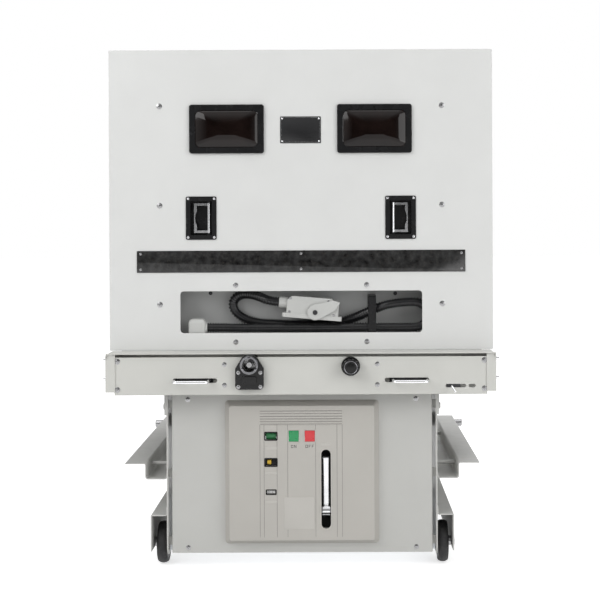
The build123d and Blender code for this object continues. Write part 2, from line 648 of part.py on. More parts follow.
def mechanism_plates():
    """Two bearing plates, their tie bars, the lever's pivot pin, button stops and the spring anchor."""
    plates = []
    for x in (-118.0, 96.0):
        body = block(x, x + 8, mechanism_front_y, mechanism_rear_y, 96, 470)
        body = chamfer(body.edges().filter_by(Axis.X), 24)
        body -= rod_x(shaft_radius + 0.3, x - 1, x + 9, shaft_y, shaft_z)
        body -= rod_x(14.3, x - 1, x + 9, cam_y, cam_z)
        plates.append(body)
    bars = [rod_x(9, -110, 96, y, z) for y, z in ((mechanism_front_y + 40, 440), (mechanism_rear_y - 30, 130),
                                                  (mechanism_front_y + 40, 122), (mechanism_rear_y - 46, 446))]
    pivot = rod_x(8, 40, 96, lever_pivot_y, lever_pivot_z)
    lug = block(88, 96, lever_pivot_y - 14, mechanism_front_y + 1, lever_pivot_z - 14, lever_pivot_z + 14)
    stops = block(-42, 42, mechanism_front_y - 1, mechanism_front_y + 5, button_z - 14, button_z + 14)
    rail = block(-118, 104, mechanism_front_y, mechanism_front_y + 5, button_z - 12, button_z + 12)
    yoke = block(-124, -117.5, fascia_y + 13, mechanism_front_y + 5, flag_z - 8, flag_z + 8)
    yoke -= rod_x(3.2, -130, -110, fascia_y + 21, flag_z)
    feet = block(-140, -117.5, mechanism_front_y + 30, mechanism_rear_y - 30, 96, 104) + block(
        103.5, 126, mechanism_front_y + 30, mechanism_rear_y - 30, 96, 104)
    legs = sum_of([block(x - 8, x + 8, y - 8, y + 8, box_bottom_z + 8 + sheet + 0.05, 97)
                   for x in (-130, 115) for y in (mechanism_front_y + 60, mechanism_rear_y - 60)])
    return sum_of(plates + bars + [pivot, lug, stops, rail, yoke, feet, legs])


def main_shaft():
    """Main shaft with a pair of crank cheeks under each pole, the drive arm and the opening spring's arm."""
    half = half_box - 0.5
    shaft = rod_x(shaft_radius, -half, half, shaft_y, shaft_z)
    for x in pole_xs:
        for cheek in (-1, 1):
            centre = x + cheek * 17
            arm = extrude(Plane(origin=(centre - 4, shaft_y, shaft_z), z_dir=(1, 0, 0), x_dir=(0, 1, 0))
                          * crank_outline(), 8)
            shaft += arm
        shaft += rod_x(7, x - 24, x + 24, *crank_pin())
    drive = extrude(Plane(origin=(30, shaft_y, shaft_z), z_dir=(1, 0, 0), x_dir=(0, 1, 0))
                    * (Circle(32) + Rot(0, 0, 236) * Pos(32, 0) * Rectangle(64, 26) + Rot(0, 0, 236) * Pos(64, 0)
                       * Circle(13)), 12)
    pad_y, pad_z = opening_pad_centre()
    rear = Rot(0, 0, -crank_tilt) * (Pos(-opening_reach / 2, 0) * Rectangle(opening_reach, 20))
    rear_plane = Plane(origin=(opening_x - 5, shaft_y, shaft_z), z_dir=(1, 0, 0), x_dir=(0, 1, 0))
    pad = rod_x(opening_pad, opening_x - 16, opening_x + 16, pad_y, pad_z)
    return shaft + drive + extrude(rear_plane * (Circle(28) + rear), 10) + pad


def crank_pin():
    """Centre of the crank pins at rest, with the contacts open."""
    tilt = math.radians(crank_tilt)
    return shaft_y + crank_radius * math.cos(tilt), shaft_z - crank_radius * math.sin(tilt)


def crank_outline():
    """Teardrop cheek from the shaft to the crank pin."""
    lever = Rot(0, 0, -crank_tilt) * (Pos(crank_radius / 2, 0) * Rectangle(crank_radius, 26))
    tip = Rot(0, 0, -crank_tilt) * Pos(crank_radius, 0) * Circle(13)
    return Circle(32) + lever + tip


def camshaft():
    """Charging camshaft with its ratchet wheel, cam and spring crank."""
    shaft = rod_x(14, -140, 116, cam_y, cam_z)
    teeth = 18
    wheel_plane = Plane(origin=(54, cam_y, cam_z), z_dir=(1, 0, 0), x_dir=(0, 1, 0))
    tooth = Polygon((50, 0), (60, 1), (50, 12), align=None)
    ratchet = Circle(52)
    for n in range(teeth):
        ratchet += Rot(0, 0, n * 360 / teeth) * tooth
    cam_plane = Plane(origin=(0, cam_y, cam_z), z_dir=(1, 0, 0), x_dir=(0, 1, 0))
    cam = Circle(26) + Pos(-8, -12) * Circle(30)
    crank = extrude(Plane(origin=(-140, cam_y, cam_z), z_dir=(1, 0, 0), x_dir=(0, 1, 0))
                    * (Circle(24) + Pos(0, -22) * Rectangle(26, 44) + Pos(0, -44) * Circle(13)), 10)
    return shaft + extrude(wheel_plane * ratchet, 10) + extrude(cam_plane * cam, 20) + crank + rod_x(
        7, -168, -132, cam_y, cam_z - 44)


def coil(radius, wire, pitch, turns):
    """Helical spring with its axis on Z, standing on z 0."""
    helix = Helix(pitch=pitch, height=pitch * turns, radius=radius)
    start = Plane(origin=helix @ 0, z_dir=helix % 0)
    return sweep(start * RegularPolygon(wire / 2, 6), path=helix, is_frenet=True)


def closing_spring():
    """Closing spring unit beside the left bearing plate: spring barrel, end caps and its eye rod."""
    x, y = -172.0, cam_y
    barrel = turned([(0, 0), (24, 0), (24, 6), (10, 6), (10, 96), (0, 96)], x, y, 106)
    springs = coil(18, 7, 12, 6)
    base = block(x - 24, x + 24, y - 24, y + 24, box_bottom_z + 8 + sheet + 0.05, 106)
    return [barrel + base, Pos(x, y, 115.8) * springs]


opening_x, opening_reach = -215.0, 44.0
opening_pad = 8.0
opening_seat_z = 292.0


def opening_pad_centre():
    """Centre of the pad that bears on the opening spring, at rest."""
    tilt = math.radians(crank_tilt)
    return shaft_y - opening_reach * math.cos(tilt), shaft_z + opening_reach * math.sin(tilt)


def opening_spring():
    """Opening spring, standing on its pedestal under the main shaft's rear arm."""
    y, z = opening_pad_centre()
    wire, turns = 5.0, 8
    height = z - opening_pad - opening_seat_z - 0.6
    return Pos(opening_x, y, opening_seat_z + 0.3 + wire / 2) * coil(15, wire, (height - wire) / turns, turns)


def spring_pedestal():
    """Pillar on the box floor that carries the opening spring's seat and guide stem."""
    y, floor = opening_pad_centre()[0], box_bottom_z + 8 + sheet + 0.05
    profile = [(0, floor), (18, floor), (18, floor + 6), (13, floor + 10), (13, opening_seat_z - 8),
               (22, opening_seat_z - 6), (22, opening_seat_z), (9, opening_seat_z), (9, opening_seat_z + 40),
               (0, opening_seat_z + 40)]
    return turned(profile, opening_x, y)


def charging_motor():
    """Charging motor with its worm gearbox, bolted to the right bearing plate."""
    body = rod_y(38, 150, mechanism_front_y + 30, mechanism_front_y + 150, 200)
    body = chamfer(body.edges().filter_by(GeomType.CIRCLE), 4)
    box = block(104.1, 190, mechanism_front_y + 150, mechanism_front_y + 200, 160, 250)
    box = fillet(box.edges().filter_by(Axis.Y), 10)
    return body + box + rod_y(14, 150, mechanism_front_y + 20, mechanism_front_y + 31, 200)


def auxiliary_switch():
    """Auxiliary switch block on the left bearing plate, with its terminal combs."""
    x1, y0 = -118.1, mechanism_front_y + 20
    body = block(x1 - 60, x1, y0, y0 + 60, 330, 450)
    for row in range(5):
        for side in (0, 1):
            body += block(x1 - 56, x1 - 4, y0 - 5 + side * 65, y0 + side * 65, 336 + row * 23, 350 + row * 23)
    return body


# ---------------------------------------------------------------- poles
def insulating_cylinder(x):
    """Epoxy tube with a foot flange, stiffening bands and a boss round each contact arm."""
    outer, wall = cylinder_radius, cylinder_wall
    inner = outer - wall
    z0 = deck_top_z + 0.05
    top = z0 + cylinder_height
    bands = [z0 + 14, z0 + 14]
    profile = [(inner - 12, z0), (outer + 18, z0), (outer + 18, z0 + 12), (outer, z0 + 22)]
    for band_z in (z0 + 330, z0 + 380, z0 + 430, z0 + 480, z0 + 530):
        profile += [(outer, band_z), (outer + 6, band_z + 5), (outer + 6, band_z + 9), (outer, band_z + 14)]
    profile += [(outer, top - 20), (outer + 6, top - 14), (outer + 6, top), (inner, top), (inner, z0 + 12),
                (inner - 12, z0 + 12)]
    body = turned(profile, x, pole_y)
    for arm_z in (lower_arm_z, upper_arm_z):
        body += rod_y(sleeve_radius + 16, x, pole_y + inner - 2, pole_y + outer + 26, arm_z) - rod_z(
            inner + 1, x, pole_y, z0, top)
        body -= rod_y(sleeve_radius + 0.3, x, pole_y + 20, pole_y + outer + 60, arm_z)
    return body


def vacuum_interrupter(x):
    """Interrupter bottle: ceramic shell with its metal belt and end caps, and the fixed contact inside."""
    outer, wall = interrupter_radius, interrupter_wall
    inner, z0, z1 = outer - wall, interrupter_bottom_z, interrupter_top_z
    middle = (z0 + z1) / 2
    shell = turned([(stem_radius + 0.5, z0), (outer - 10, z0), (outer - 4, z0 + 8), (outer, z0 + 10),
                    (outer, middle - 30), (outer + 5, middle - 26), (outer + 5, middle + 26), (outer, middle + 30),
                    (outer, z1 - 10), (outer - 4, z1 - 8), (outer - 10, z1), (0, z1), (0, z1 - 6),
                    (inner, z1 - 6), (inner, z0 + 6), (stem_radius + 0.5, z0 + 6)], x, pole_y)
    fixed = rod_z(stem_radius + 4, x, pole_y, contact_z + 16, z1 - 5) + rod_z(
        contact_radius, x, pole_y, contact_z, contact_z + 16)
    return shell + fixed


def contact_arm(x, arm_z, block_z0, block_z1):
    """Contact arm with its terminal block inside the cylinder and the tulip's spigot at the rear."""
    end = pole_y + arm_reach - tulip_length
    bore = 0 if arm_z == upper_arm_z else stem_radius + 10
    head = rod_z(62, x, pole_y, block_z0, block_z1)
    if bore:
        head -= rod_z(bore, x, pole_y, block_z0 - 1, block_z1 + 1)
    lug = block(x - 20, x + 20, pole_y + 50, pole_y + cylinder_radius - cylinder_wall - 4, block_z0, block_z1)
    arm = rod_y(arm_radius, x, pole_y + 70, end, arm_z)
    spigot = rod_y(arm_radius + 5, x, end - 26, end - 0.05, arm_z)
    ties = [block(x - 88, x + 88, pole_y - 12, pole_y + 12, block_z0 + 4, block_z1 - 4)]
    ties = [t & rod_z(cylinder_radius - cylinder_wall - 0.05, x, pole_y, block_z0, block_z1) for t in ties]
    if bore:
        ties = [t - rod_z(bore, x, pole_y, block_z0 - 1, block_z1 + 1) for t in ties]
    return sum_of([head, lug, arm, spigot] + ties)


def arm_sleeve(x, arm_z):
    """Insulating sleeve over the arm, from inside the cylinder's boss to the tulip."""
    y0 = pole_y + cylinder_radius - cylinder_wall + 4
    y1 = pole_y + arm_reach - tulip_length - 30
    outer, inner = sleeve_radius, arm_radius + 0.05
    face = make_face(Polyline((inner, 0), (outer, 0), (outer, y1 - y0 - 10), (outer - 3, y1 - y0), (inner, y1 - y0),
                              close=True))
    return Pos(x, y0, arm_z) * Rot(-90, 0, 0) * revolve(Plane.XZ * face, Axis.Z)


def tulip(x, arm_z):
    """Tulip contact: sprung fingers round the spigot, their two garter springs and the cage ring."""
    end = pole_y + arm_reach
    start = end - tulip_length - 24
    outer = tulip_radius + 10
    face = make_face(Polyline((arm_radius + 5.05, 0), (outer, 0), (outer, 20), (outer + 2, 24), (outer + 2, 60),
                              (outer - 1, 84), (tulip_radius + 4, 86), (tulip_radius, 80), (tulip_radius, 60),
                              (tulip_radius + 4.55, 50), (tulip_radius + 4.55, 24), close=True))
    ring = Rot(-90, 0, 0) * revolve(Plane.XZ * face, Axis.Z)
    for n in range(tulip_fingers // 2):
        slot = Rot(0, n * 360 / tulip_fingers, 0) * block(-90, 90, 26, 90, -0.9, 0.9)
        ring -= slot
    bands = [Pos(0, y, 0) * Rot(90, 0, 0) * Torus(outer + 3.2, 2.5) for y in (34, 50)]
    return Pos(x, start, arm_z) * sum_of([ring] + bands)


def flexible_connector(x):
    """Laminated strap from the lower terminal block to the stem clamp."""
    z0, z1 = lower_arm_z - 20, lower_arm_z - 52
    line = FilletPolyline((40, z0), (40, z0 - 14), (74, z0 - 14), (74, z1 - 24), (30, z1 - 24), (30, z1 - 10),
                          radius=6)
    outline = offset(line, amount=5, side=Side.LEFT, closed=True)
    base = Plane(origin=(x, pole_y + 16, 0), x_dir=(1, 0, 0), z_dir=(0, -1, 0))
    return extrude(base * make_face(outline.edges()), 32)


def moving_stem(x):
    """Moving contact and stem of one interrupter, down to the insulator's stud, with the strap clamp."""
    top = contact_z - contact_gap
    clamp_top = lower_arm_z - 52 - 10
    stem = rod_z(stem_radius, x, pole_y, insulator_top_z, top - 14)
    disc = rod_z(contact_radius, x, pole_y, top - 14, top)
    return stem + disc + rod_z(27, x, pole_y, clamp_top - 16, clamp_top - 0.1)


insulator_top_z = lower_arm_z - 96.0
insulator_height = 150.0


def drive_rod(x):
    """Insulating rod with sheds, the contact spring below it and the slotted clevis on the crank pin."""
    core, shed = 20.0, 27.0
    z1 = insulator_top_z - 0.05
    z0 = z1 - insulator_height
    profile = [(0, z0), (core, z0)]
    for n in range(4):
        z = z0 + 16 + n * 32
        profile += [(core, z), (shed, z + 5), (shed, z + 8), (core, z + 14)]
    profile += [(core, z1), (0, z1)]
    insulator = turned(profile, x, pole_y)
    cup = turned([(0, z0 - 56), (26, z0 - 56), (26, z0 - 50), (22, z0 - 48), (22, z0 - 8), (26, z0 - 6),
                  (26, z0 - 0.05), (0, z0 - 0.05)], x, pole_y)
    pin_y, pin_z = crank_pin()
    stud = rod_z(10, x, pole_y, pin_z + 14, z0 - 55.9)
    clevis = block(x - 12, x + 12, pole_y - 15, pole_y + 15, pin_z - 16, pin_z + 16)
    slot = block(x - 13, x + 13, pin_y - 1.2, pin_y + 2.2, pin_z - 7.2, pin_z + 7.2) + rod_x(
        7.2, x - 13, x + 13, pin_y - 1.2, pin_z) + rod_x(7.2, x - 13, x + 13, pin_y + 2.2, pin_z)
    return [insulator, cup + stud + (clevis - slot)]


# ---------------------------------------------------------------- crossbeam
def crossbeam_channel():
    """Bent hood of the crossbeam: top, two ends with front flanges, and the rear web."""
    half, y0 = half_truck, beam_y
    body = block(-half, half, y0, y0 + beam_depth, beam_bottom_z, beam_top_z)
    body = fillet(body.edges().filter_by(Axis.Y).group_by(Axis.Z)[-1], 12)
    body -= block(-half + sheet, half - sheet, y0 - 1, y0 + beam_depth - sheet, beam_bottom_z - 1,
                  beam_top_z - sheet)
    for side in (-1, 1):
        x0, x1 = sorted((side * (half - 1), side * (half - 27)))
        body += block(x0, x1, y0 + 8.9 - sheet, y0 + 8.9, beam_bottom_z, beam_top_z - 1)
        for z in lock_bolt_z:
            body -= rod_x(lock_bolt_radius + 0.8, side * half - 5, side * half + 5, lock_y, z)
    body = body - block(-half - 1, -half + 12, y0 - 1, y0 + 5.8, beam_bottom_z - 1, beam_top_z - 14)
    body = body - block(half - 12, half + 1, y0 - 1, y0 + 5.8, beam_bottom_z - 1, beam_top_z - 14)
    rear_y = y0 + beam_depth
    body -= rod_y(screw_radius + 3, hub_x, rear_y - 10, rear_y + 10, hub_z)
    return body


lock_y = beam_y + 38.0


def crossbeam_front_plate():
    """Front plate with its handle slots, lever slots, crank opening and lower return."""
    half = half_truck - 25
    z0, z1 = beam_bottom_z - beam_plate_drop, beam_top_z - 12
    points = [(plate_y + 24, z0), (plate_y, z0), (plate_y, z1)]
    base = Plane(origin=(-half, 0, 0), x_dir=(0, 1, 0), z_dir=(1, 0, 0))
    line = FilletPolyline(*points, radius=3)
    outline = offset(line, amount=sheet, side=Side.RIGHT, closed=True)
    body = extrude(base * make_face(outline.edges()), 2 * half)
    for side in (-1, 1):
        body -= front_cut(handle_slot_length, handle_slot_height, side * (handle_slot_inner_x + handle_slot_length / 2),
                          handle_slot_z, plate_y, 9, handle_slot_height / 2 - 0.01)
    body -= front_cut(58, 10, 436, 535, plate_y, 9, 4.99)
    body -= front_cut(20, 10, 482, 535, plate_y, 9, 4.99)
    body -= rod_y(hub_bore + 6, hub_x, plate_y - 9, plate_y + 9, hub_z)
    body -= rod_y(8.3, knob_x, plate_y - 9, plate_y + 9, knob_z)
    return body


def crank_hub():
    """Cast crank port: rounded housing with a raised guide ring and a lower shutter pad."""
    face = Plane(origin=(hub_x, plate_y - 0.05, hub_z), z_dir=(0, -1, 0), x_dir=(1, 0, 0))
    crown = Circle(28.5)
    foot = Pos(0, -hub_drop / 2 - 2) * RectangleRounded(hub_width, hub_drop, 12)
    outline = make_hull(crown.edges() + foot.edges())
    body = extrude(face * outline, hub_reach - 8)
    body = chamfer(body.faces().sort_by(Axis.Y)[0].edges(), 2)
    body += extrude(face * Circle(26), hub_reach + beam_plate_inset)
    body += extrude(face * (Pos(0, -44) * RectangleRounded(40, 22, 5)), hub_reach - 2)
    collar = rod_y(hub_bore + 5.5, hub_x, plate_y - 1, beam_y + beam_depth - sheet - 0.1, hub_z)
    bore = rod_y(hub_bore, hub_x, beam_y - hub_reach - 9, beam_y + beam_depth - 22, hub_z)
    seat = rod_y(screw_radius + 0.3, hub_x, beam_y, beam_y + beam_depth + 9, hub_z)
    return body + collar - bore - seat


def beam_guide_bar(side):
    """Flat bar that carries the crossbeam and slides in the chassis."""
    x, y0 = side * guide_bar_x, beam_y + beam_depth
    bar = block(x - 6, x + 6, y0 + 0.05, y0 + rack_travel + 240, guide_bar_z - 14, guide_bar_z + 14)
    return bar + block(x - 20, x + 20, y0 + 0.05, y0 + beam_gap - 0.4, guide_bar_z - 26, guide_bar_z + 26)


def lead_screw():
    """Lead screw with its collar and the crank end, cross-pinned."""
    y0 = beam_y - 14
    screw = rod_y(screw_radius, hub_x, beam_y + beam_depth - 21.5, panel_y + rack_travel + 120, hub_z)
    collar = rod_y(hub_bore - 1.5, hub_x, beam_y + beam_depth - 34, beam_y + beam_depth - 22.5, hub_z)
    end = rod_y(crank_end_radius, hub_x, y0, y0 + 21, hub_z)
    end = chamfer(end.faces().sort_by(Axis.Y)[0].edges(), 1.5)
    end += rod_y(crank_end_radius + 1, hub_x, y0 + 20, beam_y + beam_depth - 20, hub_z)
    pin = rod_x(2.5, hub_x - 14, hub_x + 14, y0 + 24, hub_z)
    return screw + collar + end + pin


def lock_slide(side):
    """Handle, slide plate and the two locking bolts of one side."""
    outer_x = handle_slot_inner_x + handle_slot_length - 6.5
    x1, x0 = side * outer_x, side * (outer_x - handle_length + handle_rod)
    rod = handle_rod / 2
    back_y = lock_y - 4
    grip = FilletPolyline((x0, back_y, handle_slot_z), (x0, beam_y - handle_reach + rod, handle_slot_z),
                          (x1, beam_y - handle_reach + rod, handle_slot_z), (x1, back_y, handle_slot_z), radius=9)
    handle = sweep(Plane(origin=grip @ 0, z_dir=grip % 0) * Circle(rod), path=grip)
    end_x = half_truck - 62
    low, high = sorted((side * (handle_slot_inner_x + 14), side * end_x))
    slide = block(low, high, back_y - 0.5, back_y + 7.5, handle_slot_z - 12, handle_slot_z + 12)
    a, b = sorted((side * end_x, side * (end_x - 34)))
    bolt_z0, bolt_z1 = sorted(lock_bolt_z)
    slide += block(a, b, back_y - 0.5, back_y + 7.5, bolt_z0 - 16, bolt_z1 + 6)
    for z in lock_bolt_z:
        shoulder = half_truck + 0.5
        near, far = sorted((side * (end_x - 30), side * shoulder))
        slide += rod_x(lock_bolt_radius + 0.4, near, far, lock_y, z)
        near, far = sorted((side * (shoulder - 1), side * (half_truck + lock_bolt_reach)))
        slide += rod_x(lock_bolt_radius, near, far, lock_y, z)
    return handle + slide


def interlock_lever():
    """Small bent lever in the right-hand slot, with its carrier behind the plate."""
    x = 424.0
    line = Polyline((x, plate_y + 9, 535), (x, beam_y - 8, 535), (x + 8, beam_y - 20, 524))
    path = FilletPolyline((x, plate_y + 9, 535), (x, beam_y - 8, 535), (x + 8, beam_y - 22, 522), radius=5)
    pin = sweep(Plane(origin=path @ 0, z_dir=path % 0) * Circle(3), path=path)
    return pin + block(x - 14, x + 26, plate_y + sheet + 0.3, plate_y + sheet + 6, 527, 543)


def selector_knob():
    """Fluted lock knob with its skirt and spindle."""
    face = Plane(origin=(knob_x, plate_y - 0.3, knob_z), z_dir=(0, -1, 0), x_dir=(1, 0, 0))
    skirt = extrude(face * Circle(knob_radius), 12)
    grip = extrude(face.offset(12) * Circle(knob_radius - 3), knob_reach + beam_plate_inset - 12.3)
    grip = fillet(grip.faces().sort_by(Axis.Y)[0].edges(), 3)
    for n in range(12):
        grip -= Pos(knob_x, 0, knob_z) * Rot(0, n * 30, 0) * rod_y(3, knob_radius - 2, plate_y - 60, plate_y - 14, 0)
    return skirt + grip + rod_y(8, knob_x, plate_y - 1, plate_y + 16, knob_z) + rod_y(
        12, knob_x, plate_y + sheet + 0.4, plate_y + 8, knob_z)


# ---------------------------------------------------------------- all nodes
def main():
    """Builds every node and writes its STEP file."""
    os.makedirs("parts", exist_ok=True)
    left_plate = side_plate()
    save("side_plate_left", left_plate)
    save("side_plate_right", mirrored(left_plate))
    save("box_front_plate", box_front_plate())
    save("box_base_plate", box_base_plate())
    rail = [guide_rail()] + rail_spacers()
    save("guide_rails", rail, [mirrored(piece) for piece in rail])
    for name, piece in (("wheel_housings", wheel_housing()),
                        ("hanger_angles", hanger_angle()), ("rear_guide_pins", rear_guide_pin()),
                        ("panel_posts", panel_post())):
        save(name, piece, mirrored(piece))
    axles = [wheel_axle(y) for y in axle_ys]
    save("wheel_axles", axles, [mirrored(a) for a in axles])
    for end, axle_y in zip(("front", "rear"), axle_ys):
        for side, word in ((-1, "left"), (1, "right")):
            save(f"wheel_{end}_{word}", wheel(side, axle_y))
    save("chassis_frame", chassis_frame())
    save("deck_plate", deck_plate())
    save("front_panel", front_panel())
    save("window_bezels", [window_bezel(s) for s in (-1, 1)])
    save("window_lenses", [window_lens(s) for s in (-1, 1)])
    save("handle_cups", [handle_cup(s) for s in (-1, 1)])
    save("handle_bail_left", handle_bail(-1))
    save("handle_bail_right", handle_bail(1))
    save("connector_tray", connector_tray())
    save("conduit", conduit())
    save("conduit_elbow", conduit_elbow())
    save("conduit_clamp", conduit_clamp())
    save("secondary_plug", secondary_plug())
    save("plug_lever", plug_lever())
    save("mechanism_fascia", mechanism_fascia())
    save("open_button", push_button(1))
    save("close_button", push_button(-1))
    save("position_flag", position_flag())
    save("charging_lever", charging_lever())
    save("mechanism_plates", mechanism_plates())
    save("main_shaft", main_shaft())
    save("camshaft", camshaft())
    save("closing_spring", closing_spring())
    save("opening_spring", opening_spring())
    save("spring_pedestal", spring_pedestal())
    save("charging_motor", charging_motor())
    save("auxiliary_switch", auxiliary_switch())
    for x, word in zip(pole_xs, ("left", "centre", "right")):
        save(f"insulating_cylinder_{word}", insulating_cylinder(x))
    save("vacuum_interrupters", [vacuum_interrupter(x) for x in pole_xs])
    save("contact_arms", [contact_arm(x, lower_arm_z, lower_arm_z - 20, lower_arm_z + 20) for x in pole_xs]
         + [contact_arm(x, upper_arm_z, interrupter_top_z + 0.05, upper_arm_z + 24) for x in pole_xs])
    arms = [(x, z) for z in (lower_arm_z, upper_arm_z) for x in pole_xs]
    save("arm_sleeves", [arm_sleeve(x, z) for x, z in arms])
    save("tulip_contacts", [tulip(x, z) for x, z in arms])
    save("flexible_connectors", [flexible_connector(x) for x in pole_xs])
    save("moving_stems", [moving_stem(x) for x in pole_xs])
    save("drive_rods", [drive_rod(x) for x in pole_xs])
    save("crossbeam_channel", crossbeam_channel())
    save("crossbeam_front_plate", crossbeam_front_plate())
    save("crank_hub", crank_hub())
    save("beam_guide_bars", [beam_guide_bar(s) for s in (-1, 1)])
    save("lead_screw", lead_screw())
    save("lock_slide_left", lock_slide(-1))
    save("lock_slide_right", lock_slide(1))
    save("interlock_lever", interlock_lever())
    save("selector_knob", selector_knob())


main()
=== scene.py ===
"""Dresses the withdrawable vacuum circuit breaker with finishes, small hardware, conduit and covers."""
import logging
import math
from dataclasses import dataclass, field
from enum import Enum

import bmesh
import bpy
from mathutils import Matrix, Vector


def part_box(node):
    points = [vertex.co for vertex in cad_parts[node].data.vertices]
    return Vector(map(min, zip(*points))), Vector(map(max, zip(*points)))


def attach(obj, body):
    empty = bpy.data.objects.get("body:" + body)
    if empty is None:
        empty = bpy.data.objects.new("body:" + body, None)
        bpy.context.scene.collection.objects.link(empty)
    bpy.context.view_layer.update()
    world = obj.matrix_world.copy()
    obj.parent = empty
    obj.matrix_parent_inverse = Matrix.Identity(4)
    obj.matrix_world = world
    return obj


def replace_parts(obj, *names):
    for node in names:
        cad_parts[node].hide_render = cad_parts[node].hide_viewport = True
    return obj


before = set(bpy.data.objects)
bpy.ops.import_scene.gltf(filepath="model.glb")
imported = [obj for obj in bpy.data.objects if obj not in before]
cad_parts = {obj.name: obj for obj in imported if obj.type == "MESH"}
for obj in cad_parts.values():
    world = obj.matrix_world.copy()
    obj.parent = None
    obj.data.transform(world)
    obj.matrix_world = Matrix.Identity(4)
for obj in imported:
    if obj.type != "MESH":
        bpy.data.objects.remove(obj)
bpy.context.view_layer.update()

log = logging.getLogger("breaker")
MM = 0.001
SHARP = math.radians(32)
DUST = (0.16, 0.14, 0.12, 1)
Point = tuple[float, float, float]
Colour = tuple[float, float, float]


class Body(str, Enum):
    """Rigid bodies that the dressed pieces ride on."""

    TRUCK = "truck"
    CROSSBEAM = "crossbeam"
    LEAD_SCREW = "lead_screw"
    KNOB = "selector_knob"
    PLUG_LEVER = "plug_lever"


class Texture(Enum):
    """Surface relief of a finish."""

    SPRAYED = "sprayed"
    BRUSHED_X = "brushed_x"
    BRUSHED_Z = "brushed_z"
    SPANGLED = "spangled"
    MOULDED = "moulded"
    CAST = "cast"
    POLISHED = "polished"


BRUSH_STRETCH: dict[Texture, Point] = {
    Texture.BRUSHED_X: (0.03, 1.0, 1.0),
    Texture.BRUSHED_Z: (1.0, 1.0, 0.03),
}


